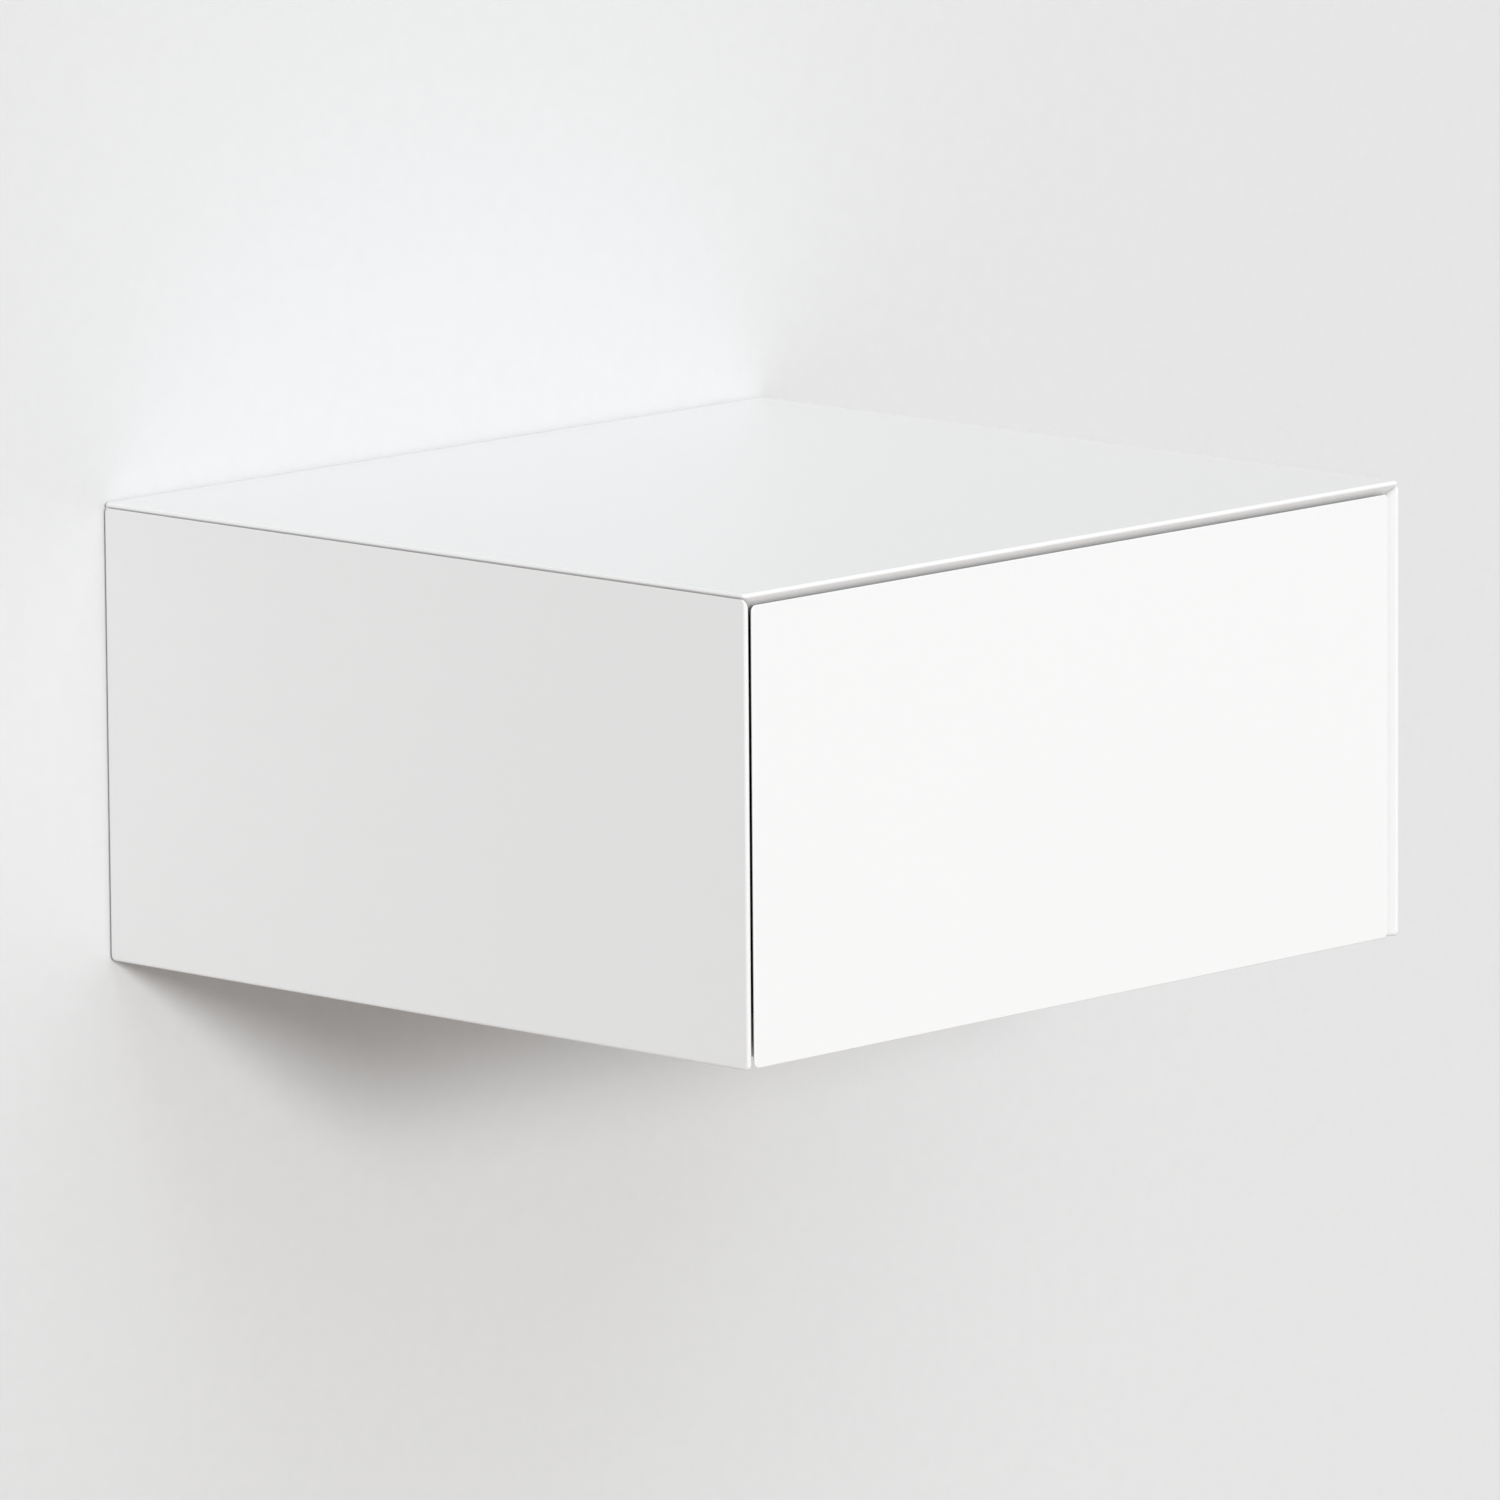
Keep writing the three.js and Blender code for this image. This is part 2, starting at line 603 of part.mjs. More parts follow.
function makeSide(side) {
  const mitreTop = CASE_HEIGHT - MITRE_LAND - SEAT_GAP * Math.SQRT2;
  const plate = profiledPlate({
    u: [caseFront, 0],
    v: [0, mitreTop],
    edges: {
      uLow: frontBevel,
      uHigh: roundedEdge(ARRIS_RADIUS),
      vLow: roundedEdge(ARRIS_RADIUS),
      vHigh: easedMitreEdge,
    },
    depths: [...panelDepths, MITRE_EASING],
    cornerRadius: PANEL_CORNER_RADIUS,
    cornerSteps: CORNER_STEPS,
    place: (y, z, depth) => new THREE.Vector3(side * (halfWidth - depth), y, z),
  });
  const grooveSpan = [side * (innerHalf - CUT_OVERRUN), side * (innerHalf + BACK_GROOVE_DEPTH)];
  const groove = block(
    grooveSpan.sort((a, b) => a - b),
    backGroove,
    [PANEL_THICKNESS - BACK_GROOVE_DEPTH, innerTop + BACK_GROOVE_DEPTH],
  );
  const name = side < 0 ? 'left_side_panel' : 'right_side_panel';
  addPiece(name, cut(plate, [groove, ...sideHoles.get(side)]), whiteLacquer);
}

const latchScrewReach = LATCH_WIDTH / 2 + LATCH_EAR_WIDTH / 2;
const latchFront = pushStop + LATCH_SETBACK;
const latchLow = PANEL_THICKNESS + SEAT_GAP;
const latchScrewY = latchFront + LATCH_EAR_SHARE * LATCH_LENGTH;
const latchScrewHoles = [-1, 1].map((side, i) => makeScrew(
  `latch_screw_${i + 1}`,
  LATCH_SCREW_LENGTH,
  [side * latchScrewReach, latchScrewY, latchLow + LATCH_EAR_THICKNESS],
  downwards,
));

function makeBottom() {
  const reach = innerHalf - SEAT_GAP;
  const plate = board([-reach, reach], [pushStop, 0], [0, PANEL_THICKNESS]);
  const groove = block(
    [-halfWidth, halfWidth],
    backGroove,
    [PANEL_THICKNESS - BACK_GROOVE_DEPTH, PANEL_THICKNESS + CUT_OVERRUN],
  );
  addPiece('bottom_panel', cut(plate, [groove, ...latchScrewHoles]), whiteLacquer);
}

function makeBack() {
  const spare = BACK_GROOVE_DEPTH - SEAT_GAP;
  addPiece('back_panel', board(
    [-innerHalf - spare, innerHalf + spare],
    [backFront, backRear],
    [PANEL_THICKNESS - spare, innerTop + spare],
  ), drawerBoard);
}

// The rail and the cleat hook together on a 45 degree bevel that falls towards the wall.
function makeRailAndCleat() {
  const railFront = backRear + SEAT_GAP;
  const railRear = railFront + RAIL_THICKNESS;
  const seat = SEAT_GAP * Math.SQRT2;
  const railHigh = innerTop - SEAT_GAP;
  const rail = extrudeAcross([
    [railRear, cleatTop - railRear + seat],
    [railRear, railHigh],
    [railFront, railHigh],
    [railFront, cleatTop - railFront + seat],
  ], innerHalf - SEAT_GAP);
  addPiece('hanging_rail', rail, rawBoard);

  const halfLength = innerHalf - CLEAT_END_PLAY;
  const cleat = extrudeAcross([
    [0, cleatTop - CLEAT_HEIGHT],
    [0, cleatTop],
    [-CLEAT_THICKNESS, cleatTop + CLEAT_THICKNESS],
    [-CLEAT_THICKNESS, cleatTop - CLEAT_HEIGHT],
  ], halfLength);
  const holeProfile = [
    [0, -CUT_OVERRUN],
    [CLEAT_SINK_RADIUS, -CUT_OVERRUN],
    [CLEAT_SINK_RADIUS, 0],
    [CLEAT_HOLE_RADIUS, CLEAT_SINK_DEPTH],
    [CLEAT_HOLE_RADIUS, CLEAT_THICKNESS + CUT_OVERRUN],
    [0, CLEAT_THICKNESS + CUT_OVERRUN],
  ];
  const holes = CLEAT_HOLE_SHARES.map((share) => turned(
    holeProfile,
    [share * halfLength, -CLEAT_THICKNESS, cleatMiddle],
    backwards,
    HOLE_SIDES,
  ));
  addPiece('wall_cleat', cut(cleat, holes), rawBoard);
}

// Drawer
const frontScrewHoles = [];
FRONT_SCREW_Z_SHARES.forEach((zShare, row) => {
  FRONT_SCREW_X_SHARES.forEach((xShare, column) => {
    const start = [
      xShare * (boxHalf - BOX_THICKNESS),
      boxFront + BOX_THICKNESS,
      boxLow + zShare * (boxHigh - boxLow),
    ];
    const name = `front_screw_${row * FRONT_SCREW_X_SHARES.length + column + 1}`;
    frontScrewHoles.push(makeScrew(name, FRONT_SCREW_LENGTH, start, forwards));
  });
});

function makeDrawerFront() {
  const bevel = bevelledEdge(FRONT_ARRIS_RADIUS);
  const plate = profiledPlate({
    u: [-halfWidth + FRONT_SIDE_REVEAL, halfWidth - FRONT_SIDE_REVEAL],
    v: [0, CASE_HEIGHT - FRONT_TOP_REVEAL],
    edges: { uLow: bevel, uHigh: bevel, vLow: roundedEdge(FRONT_ARRIS_RADIUS), vHigh: bevel },
    depths: [...arrisDepths(FRONT_ARRIS_RADIUS, bevelTurn, CORNER_STEPS), FRONT_THICKNESS],
    cornerRadius: FRONT_CORNER_RADIUS,
    cornerSteps: CORNER_STEPS,
    place: (x, z, depth) => new THREE.Vector3(x, frontFace + depth, z),
  });
  addPiece('drawer_front', cut(plate, frontScrewHoles), whiteLacquer);
}

// The box: front and back stand between the sides, and the bottom sits in a groove all round.
function makeDrawerBox() {
  const bottomLow = boxLow + DRAWER_BOTTOM_LIFT;
  const bottomHigh = bottomLow + DRAWER_BOTTOM_THICKNESS;
  const insideHalf = boxHalf - BOX_THICKNESS;
  const insideFront = boxFront + BOX_THICKNESS;
  const insideRear = boxRear - BOX_THICKNESS;
  const groove = block(
    [-insideHalf - DRAWER_GROOVE_DEPTH, insideHalf + DRAWER_GROOVE_DEPTH],
    [insideFront - DRAWER_GROOVE_DEPTH, insideRear + DRAWER_GROOVE_DEPTH],
    [bottomLow - SEAT_GAP, bottomHigh + SEAT_GAP],
  );
  const height = [boxLow, boxHigh];
  for (const side of [-1, 1]) {
    const span = [side * insideHalf, side * boxHalf].sort((a, b) => a - b);
    const plate = board(span, [boxFront, boxRear], height);
    const name = side < 0 ? 'drawer_left_side' : 'drawer_right_side';
    addPiece(name, cut(plate, [groove, ...boxSideHoles.get(side)]), drawerBoard);
  }
  const between = [-insideHalf + SEAT_GAP, insideHalf - SEAT_GAP];
  const innerFront = board(between, [boxFront, insideFront], height);
  addPiece('drawer_inner_front', cut(innerFront, [groove, ...frontScrewHoles]), drawerBoard);
  const back = board(between, [insideRear, boxRear], height);
  addPiece('drawer_back', cut(back, [groove]), drawerBoard);
  const spare = DRAWER_GROOVE_DEPTH - SEAT_GAP;
  addPiece('drawer_bottom', block(
    [-insideHalf - spare, insideHalf + spare],
    [insideFront - spare, insideRear + spare],
    [bottomLow, bottomHigh],
  ), drawerBoard);
}

// Push latch, on the bottom panel under the drawer box, working on the back of the drawer front.
const plungerHeight = latchLow + LATCH_HEIGHT / 2;
const strikeFront = frontRear + SEAT_GAP;
const strikeRear = strikeFront + STRIKE_THICKNESS;
const plungerNose = strikeRear + PLUNGER_REST_GAP;

function makeLatch() {
  const body = board(
    [-LATCH_WIDTH / 2, LATCH_WIDTH / 2],
    [latchFront, latchFront + LATCH_LENGTH],
    [latchLow, latchLow + LATCH_HEIGHT],
    LATCH_EDGE_RADIUS,
  );
  const earReach = LATCH_WIDTH / 2 + LATCH_EAR_WIDTH;
  const ears = board(
    [-earReach, earReach],
    [latchScrewY - LATCH_EAR_LENGTH / 2, latchScrewY + LATCH_EAR_LENGTH / 2],
    [latchLow, latchLow + LATCH_EAR_THICKNESS],
  );
  const boreRadius = PLUNGER_RADIUS + SEAT_GAP;
  const boreEnd = plungerNose + PLUNGER_LENGTH + PLUNGER_BORE_SPARE;
  const bore = turned([
    [0, latchFront - CUT_OVERRUN],
    [boreRadius, latchFront - CUT_OVERRUN],
    [boreRadius, boreEnd],
    [0, boreEnd],
  ], [0, 0, plungerHeight], backwards, PLUNGER_SIDES);
  addPiece('push_latch_housing', cut(join(body, [ears]), [bore, ...latchScrewHoles]), greyPlastic);

  const nose = [];
  for (let step = 0; step <= CORNER_STEPS; step += 1) {
    const angle = (step / CORNER_STEPS) * (Math.PI / 2);
    nose.push([
      PLUNGER_RADIUS - PLUNGER_NOSE_RADIUS * (1 - Math.sin(angle)),
      PLUNGER_NOSE_RADIUS * (1 - Math.cos(angle)),
    ]);
  }
  addPiece('push_latch_plunger', turned([
    [0, 0],
    ...nose,
    [PLUNGER_RADIUS, PLUNGER_LENGTH],
    [0, PLUNGER_LENGTH],
  ], [0, plungerNose, plungerHeight], backwards, PLUNGER_SIDES), darkPlastic);

  addPiece('latch_strike_plate', turned([
    [0, 0],
    [STRIKE_RADIUS, 0],
    [STRIKE_RADIUS, STRIKE_THICKNESS],
    [0, STRIKE_THICKNESS],
  ], [0, strikeFront, plungerHeight], backwards, PLUNGER_SIDES), zincSteel);
}

makeTop();
makeSide(-1);
makeSide(1);
makeBottom();
makeBack();
makeRailAndCleat();
makeDrawerFront();
makeDrawerBox();
makeLatch();

nightstand.position.z = -cleatMiddle;

export default nightstand;
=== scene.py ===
# %% [markdown]
# # A floating nightstand, dressed over its measured frame
#
# The object is a white lacquered box, mitred at its upper corners, that hangs on a wall with
# nothing under it. One drawer fills its front. There is no handle: a press on the front frees
# a latch. The measured solids stay where they are. This lesson puts a camera and soft light
# round them, sprays, plates and moulds their surfaces, and remakes the small turned and pressed
# pieces as smooth surfaces, each from a short formula.

# %% Load the measured frame
import json
import math

import bmesh
import bpy
import numpy as np
from mathutils import Matrix, Vector


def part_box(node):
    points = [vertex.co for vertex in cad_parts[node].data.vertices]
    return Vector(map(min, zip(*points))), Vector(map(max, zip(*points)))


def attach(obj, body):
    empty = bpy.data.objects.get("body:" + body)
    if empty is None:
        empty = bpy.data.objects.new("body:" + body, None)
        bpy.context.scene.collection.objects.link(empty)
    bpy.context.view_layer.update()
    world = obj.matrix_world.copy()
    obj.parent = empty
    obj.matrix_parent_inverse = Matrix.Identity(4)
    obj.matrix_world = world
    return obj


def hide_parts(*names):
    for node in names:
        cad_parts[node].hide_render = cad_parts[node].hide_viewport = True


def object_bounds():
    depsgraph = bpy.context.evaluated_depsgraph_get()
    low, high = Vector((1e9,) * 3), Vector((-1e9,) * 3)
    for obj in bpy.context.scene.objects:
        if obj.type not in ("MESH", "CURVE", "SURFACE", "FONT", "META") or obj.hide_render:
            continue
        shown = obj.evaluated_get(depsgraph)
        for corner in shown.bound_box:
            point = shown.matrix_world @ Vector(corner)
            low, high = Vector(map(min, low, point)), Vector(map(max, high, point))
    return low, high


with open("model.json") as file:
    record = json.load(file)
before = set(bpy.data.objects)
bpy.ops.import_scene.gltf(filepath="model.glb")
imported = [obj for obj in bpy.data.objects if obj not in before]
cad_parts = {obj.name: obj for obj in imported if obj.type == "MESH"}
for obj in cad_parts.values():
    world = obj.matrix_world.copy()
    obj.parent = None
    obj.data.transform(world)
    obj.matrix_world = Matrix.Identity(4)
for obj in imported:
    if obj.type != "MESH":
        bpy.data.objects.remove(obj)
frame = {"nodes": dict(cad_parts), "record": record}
solid_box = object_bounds()
nodes = frame["nodes"]
body_of_node = {
    node: body
    for body, members in frame["record"]["behaviour"]["bodies"].items()
    for node in members
}
slot_of_node = {row["node"]: row["material_slot"] for row in frame["record"]["subparts"]}

# %% [markdown]
# ## The camera
#
# The box's parallel edges hardly run together in the photograph, so it was taken from far away
# with a long lens. Nine edges of the box, found in the photograph, fix the camera's bearing
# round the object, its height above the horizon, a slight roll and the distance. Its axis passes
# a little beside the origin, which lies on the wall behind the object. The matrix is built from
# three directions: to the right of the picture, up in the picture, and back to the camera.

# %% Camera
MM = 0.001  # lengths are in metres throughout
LENS_MM = 350
SENSOR_MM = 36
CAMERA_BEARING = math.radians(-46.418)
CAMERA_HEIGHT_ANGLE = math.radians(9.758)
CAMERA_ROLL = math.radians(-0.419)
CAMERA_DISTANCE = 6.2601
AIM_RIGHT = 0.1320  # from the origin to the camera's axis
AIM_UP = -0.0334


def add_object(name, data):
    """A new object, linked to the scene."""
    obj = bpy.data.objects.new(name, data)
    bpy.context.scene.collection.objects.link(obj)
    return obj


away = Vector((
    math.sin(CAMERA_BEARING) * math.cos(CAMERA_HEIGHT_ANGLE),
    -math.cos(CAMERA_BEARING) * math.cos(CAMERA_HEIGHT_ANGLE),
    math.sin(CAMERA_HEIGHT_ANGLE),
))
level_right = Vector((math.cos(CAMERA_BEARING), math.sin(CAMERA_BEARING), 0))
level_up = away.cross(level_right)
right = math.cos(CAMERA_ROLL) * level_right + math.sin(CAMERA_ROLL) * level_up
up = math.cos(CAMERA_ROLL) * level_up - math.sin(CAMERA_ROLL) * level_right

camera_data = bpy.data.cameras.new("camera")
camera_data.lens = LENS_MM
camera_data.sensor_width = SENSOR_MM
camera = add_object("camera", camera_data)
turn = Matrix((right, up, away)).transposed().to_4x4()
place = away * CAMERA_DISTANCE + right * AIM_RIGHT + up * AIM_UP
camera.matrix_world = Matrix.Translation(place) @ turn
bpy.context.scene.camera = camera
print("camera at", [round(c, 3) for c in place])

# %% [markdown]
# ## Shader nets in few words
#
# Every finish below is a small net of shader nodes. A net could be clicked together by hand; here
# a few helpers write it down. One adds a node and feeds its sockets with values or links, one
# does sums, one mixes two colours, and one starts a material with its Principled shader.

# %% Helpers for shader nets
def feed(tree, socket, value):
    """Gives an input socket a link, where the value is another node's output, or else the value."""
    if isinstance(value, bpy.types.NodeSocket):
        tree.links.new(value, socket)
    else:
        socket.default_value = value


def add_node(tree, kind, sockets=None, **settings):
    """Adds a node, sets its settings, then feeds each named socket."""
    node = tree.nodes.new(kind)
    for name, value in settings.items():
        setattr(node, name, value)
    for key, value in (sockets or {}).items():
        feed(tree, node.inputs[key], value)
    return node


def calc(tree, operation, *values):
    """One sum, such as ADD or MULTIPLY, of numbers or outputs."""
    sockets = dict(enumerate(values))
    return add_node(tree, "ShaderNodeMath", sockets, operation=operation).outputs["Value"]


def mix_color(tree, factor, first, second):
    """The first colour where the factor is 0 and the second where it is 1."""
    node = add_node(tree, "ShaderNodeMix", {"Factor": factor}, data_type="RGBA")
    color_sockets = [socket for socket in node.inputs if socket.type == "RGBA"]
    for socket, value in zip(color_sockets, (first, second)):
        feed(tree, socket, value)
    return next(socket for socket in node.outputs if socket.type == "RGBA")


def smooth_between(tree, value, low, high, out_low=0.0, out_high=1.0):
    """A soft step: out_low below low, out_high above high."""
    return add_node(tree, "ShaderNodeMapRange", {
        "Value": value, "From Min": low, "From Max": high, "To Min": out_low, "To Max": out_high,
    }, interpolation_type="SMOOTHSTEP").outputs["Result"]


def noise(tree, position, scale, detail=2.0, stretch=(1, 1, 1)):
    """Cloudy noise about 0.5, with cells of 1 / scale metres, longer where stretch is below 1."""
    scaled = add_node(tree, "ShaderNodeMapping", {"Vector": position, "Scale": stretch})
    return add_node(tree, "ShaderNodeTexNoise", {
        "Vector": scaled.outputs["Vector"], "Scale": scale, "Detail": detail,
    }).outputs["Fac"]


def new_material(name, **constants):
    """A material with one Principled shader, whose unchanging sockets are set by name."""
    material = bpy.data.materials.new(name)
    material.use_nodes = True
    tree = material.node_tree
    shader = tree.nodes["Principled BSDF"]
    for key, value in constants.items():
        shader.inputs[key.replace("_", " ")].default_value = value
    return material, tree, shader


def position_on(tree):
    """The place on the object in metres, which moves along with it."""
    return add_node(tree, "ShaderNodeTexCoord").outputs["Object"]


def bump(tree, shader, height, depth):
    """Raises the surface by the height times depth metres, in shading only."""
    node = add_node(tree, "ShaderNodeBump", {"Height": height, "Distance": depth, "Strength": 1.0})
    tree.links.new(node.outputs["Normal"], shader.inputs["Normal"])


# %% [markdown]
# ## Effects kept in groups
#
# An effect that several finishes share is a node group: built once, placed in each material with
# its own values. A group hands out only what changes over the surface, such as a height or a
# shift in roughness, and the shader itself stays in the material.

# %% Helper for groups
def new_group(name, inputs, outputs):
    """An empty group: inputs is name -> default, where None stands for a vector."""
    group = bpy.data.node_groups.new(name, "ShaderNodeTree")
    for label, default in inputs.items():
        kind = "NodeSocketVector" if default is None else "NodeSocketFloat"
        socket = group.interface.new_socket(label, in_out="INPUT", socket_type=kind)
        if default is not None:
            socket.default_value = default
    for label in outputs:
        group.interface.new_socket(label, in_out="OUTPUT", socket_type="NodeSocketFloat")
    return group, group.nodes.new("NodeGroupInput"), group.nodes.new("NodeGroupOutput")


def place_group(tree, group, sockets):
    """Puts a group into a material's net and feeds its inputs."""
    return add_node(tree, "ShaderNodeGroup", sockets, node_tree=group)


# %% [markdown]
# ## The stage
#
# A painted wall stands just behind the object, as in the photograph, and a pale floor lies well
# below it. Roller paint is never quite flat or even, so the wall has a fine stipple and faint
# clouds. Seen from behind, the wall would hide the object: the Backfacing output picks a clear
# shader there. The case itself covers an opening in the wall, so that light also reaches its rear
# when someone looks there. The wall is therefore four sheets, one to each side of the opening.
# The floor shows paler to the camera than it is to the light: what it throws back comes from a
# darker and warmer paint, as the shadow's tone in the photograph asks for.

# %% Wall and floor
WALL_GAP = 0.8 * MM
WALL_HALF_WIDTH = 4.0
WALL_HEIGHT = 3.0
FLOOR_DROP = 0.8
FLOOR_DEPTH = 6.0
OPENING_INSET = 2.2 * MM  # how far the wall reaches in behind the case
WALL_PAINT = (0.707, 0.707, 0.707, 1)
WALL_PAINT_THIN = (0.699, 0.699, 0.699, 1)
FLOOR_SHOWN = (0.93, 0.93, 0.93, 1)
FLOOR_PAINT = (0.46, 0.415, 0.38, 1)
PAINT_ROUGHNESS = 0.9
STIPPLE_PER_METRE = 420
STIPPLE_DEPTH = 0.09 * MM
ROLLER_MARKS_PER_METRE = 110
ROLLER_MARK_RANGE = (0.35, 0.65)


def stage_material(name, color):
    """Matt paint with a stipple, clear when seen from behind."""
    material, tree, shader = new_material(name, Base_Color=color, Roughness=PAINT_ROUGHNESS)
    stipple = noise(tree, position_on(tree), STIPPLE_PER_METRE, detail=4.0)
    bump(tree, shader, stipple, STIPPLE_DEPTH)
    facing = add_node(tree, "ShaderNodeNewGeometry").outputs["Backfacing"]
    clear = add_node(tree, "ShaderNodeBsdfTransparent")
    pick = add_node(tree, "ShaderNodeMixShader", {
        0: facing, 1: shader.outputs["BSDF"], 2: clear.outputs["BSDF"],
    })
    tree.links.new(pick.outputs["Shader"], tree.nodes["Material Output"].inputs["Surface"])
    return material, tree, shader


def stage_sheet(name, corners, material):
    """A flat sheet that belongs to the stage and not to the object."""
    mesh = bpy.data.meshes.new(name)
    mesh.from_pydata(corners, [], [(0, 1, 2, 3)])
    mesh.materials.append(material)
    add_object(name, mesh)


wall_material, wall_tree, wall_shader = stage_material("stage_wall_paint", WALL_PAINT)
roller = noise(wall_tree, position_on(wall_tree), ROLLER_MARKS_PER_METRE, detail=6.0)
roller_marks = smooth_between(wall_tree, roller, *ROLLER_MARK_RANGE)
wall_color = mix_color(wall_tree, roller_marks, WALL_PAINT, WALL_PAINT_THIN)
wall_tree.links.new(wall_color, wall_shader.inputs["Base Color"])
floor_material, floor_tree, floor_shader = stage_material("stage_floor_paint", FLOOR_PAINT)
seen = add_node(floor_tree, "ShaderNodeLightPath").outputs["Is Camera Ray"]
floor_color = mix_color(floor_tree, seen, FLOOR_PAINT, FLOOR_SHOWN)
floor_tree.links.new(floor_color, floor_shader.inputs["Base Color"])

low, high = Vector(solid_box[0]), Vector(solid_box[1])
hole_x = (low.x + OPENING_INSET, high.x - OPENING_INSET)
hole_z = (low.z + OPENING_INSET, high.z - OPENING_INSET)
wall_parts = {
    "stage_wall_left": ((-WALL_HALF_WIDTH, hole_x[0]), (-FLOOR_DROP, WALL_HEIGHT)),
    "stage_wall_right": ((hole_x[1], WALL_HALF_WIDTH), (-FLOOR_DROP, WALL_HEIGHT)),
    "stage_wall_below": (hole_x, (-FLOOR_DROP, hole_z[0])),
    "stage_wall_above": (hole_x, (hole_z[1], WALL_HEIGHT)),
}
for name, ((x0, x1), (z0, z1)) in wall_parts.items():
    corners = [(x0, WALL_GAP, z0), (x1, WALL_GAP, z0), (x1, WALL_GAP, z1), (x0, WALL_GAP, z1)]
    stage_sheet(name, corners, wall_material)
stage_sheet("stage_floor", [
    (-WALL_HALF_WIDTH, -FLOOR_DEPTH, -FLOOR_DROP), (WALL_HALF_WIDTH, -FLOOR_DEPTH, -FLOOR_DROP),
    (WALL_HALF_WIDTH, FLOOR_DEPTH, -FLOOR_DROP), (-WALL_HALF_WIDTH, FLOOR_DEPTH, -FLOOR_DROP),
], floor_material)
print("stage: wall and floor")

# %% [markdown]
# ## Light
#
# Two things in the photograph tell where the light comes from. The shadow on the wall starts at
# the box's lower left corner and slopes down to the right, and a pale patch on the wall above the
# box, thrown there by the glossy top, slopes up to the right at the same angle. So the main light
# stands far in front, a little to the left and a little above. Its shadow is softer from side to
# side than a round lamp would make it: two discs of nine degrees, side by side, stand for a broad
# window. Two weak and much wider lights from above keep the top from going grey, and the room
# fills in the rest evenly. A least-squares fit to fifty places of the picture gave their strengths.

# %% Lights and room
ROOM_STRENGTH = 0.513
ROOM_SHOWN = 0.86  # the strength that the camera sees, past the edges of wall and floor
ROOM_COLOR = (0.992, 1.0, 1.010, 1)
DAYLIGHT = (0.985, 0.997, 1.010)
# Each light: the direction towards it, its width in degrees, its strength
FAR_LIGHTS = {
    "window_light": ((-0.35, -1, 0.2), 9, 0.79),
    "window_light_beside": ((-0.45, -1, 0.25), 9, 0.98),
    "soft_light_above": ((-0.4, -1, 0.6), 34, 0.26),
    "ceiling_light": ((0.1, -1, 1.6), 50, 0.47),
}


def far_light(name, toward, width_degrees, strength):
    """A far light: it comes from one direction everywhere, as wide as its angle in the sky."""
    data = bpy.data.lights.new(name, "SUN")
    data.energy = strength
    data.color = DAYLIGHT
    data.angle = math.radians(width_degrees)
    lamp = add_object(name, data)
    lamp.rotation_euler = Vector(toward).to_track_quat("Z", "Y").to_euler()


for name, settings in FAR_LIGHTS.items():
    far_light(name, *settings)

world = bpy.data.worlds.new("room")
bpy.context.scene.world = world
world.use_nodes = True
room = world.node_tree
seen = add_node(room, "ShaderNodeLightPath").outputs["Is Camera Ray"]
strength = calc(room, "MULTIPLY_ADD", seen, ROOM_SHOWN - ROOM_STRENGTH, ROOM_STRENGTH)
room.links.new(strength, room.nodes["Background"].inputs["Strength"])
room.nodes["Background"].inputs["Color"].default_value = ROOM_COLOR
bpy.context.scene.view_settings.view_transform = "Standard"

# %% [markdown]
# ## Sprayed lacquer
#
# The case and the drawer front are fibreboard, sprayed with satin white lacquer. A sprayed film
# dries with a faint waviness, like the skin of an orange, a few thousandths of a millimetre deep
# over some millimetres. It cannot be seen as colour, only where the sheen breaks up. Two sizes
# of noise make it. On the edges that go against the wall the coat is thin, and the brown board
# shows through in specks.

# %% The film as a group, and the white lacquer
PEEL_PER_METRE = 300.0
PEEL_DEPTH = 0.003 * MM
DUST_PER_METRE = 1900.0
DUST_SHARE = 0.08
GLOSS_DRIFT_PER_METRE = 9.0
GLOSS_DRIFT = 0.04
LACQUER_ROUGHNESS = 0.17
LACQUER_WHITE = (0.872, 0.872, 0.870, 1)
LACQUER_WHITE_DEEP = (0.866, 0.866, 0.863, 1)
LACQUER_CLOUDS_PER_METRE = 12.0
BARE_FIBREBOARD = (0.50, 0.40, 0.29, 1)
THIN_COAT_DEPTHS = (-0.12 * MM, -0.02 * MM)  # measured from the plane of the case's rear edges
SPECKS_PER_METRE = 520.0
SPECK_RANGE = (0.36, 0.66)
SPECK_STRENGTH = 0.6

film, film_in, film_out = new_group(
    "sprayed_film", {"Position": None, "Peel per metre": PEEL_PER_METRE},
    ("Height", "Roughness Shift"))
film_position = film_in.outputs["Position"]
waves = noise(film, film_position, film_in.outputs["Peel per metre"])
drift = noise(film, film_position, GLOSS_DRIFT_PER_METRE, detail=3.0)
dust = noise(film, film_position, DUST_PER_METRE, detail=1.0)
film_height = calc(film, "ADD", waves, calc(film, "MULTIPLY", dust, DUST_SHARE))
film.links.new(film_height, film_out.inputs["Height"])
film_shift = calc(film, "MULTIPLY_ADD", drift, GLOSS_DRIFT, -GLOSS_DRIFT / 2)
film.links.new(film_shift, film_out.inputs["Roughness Shift"])


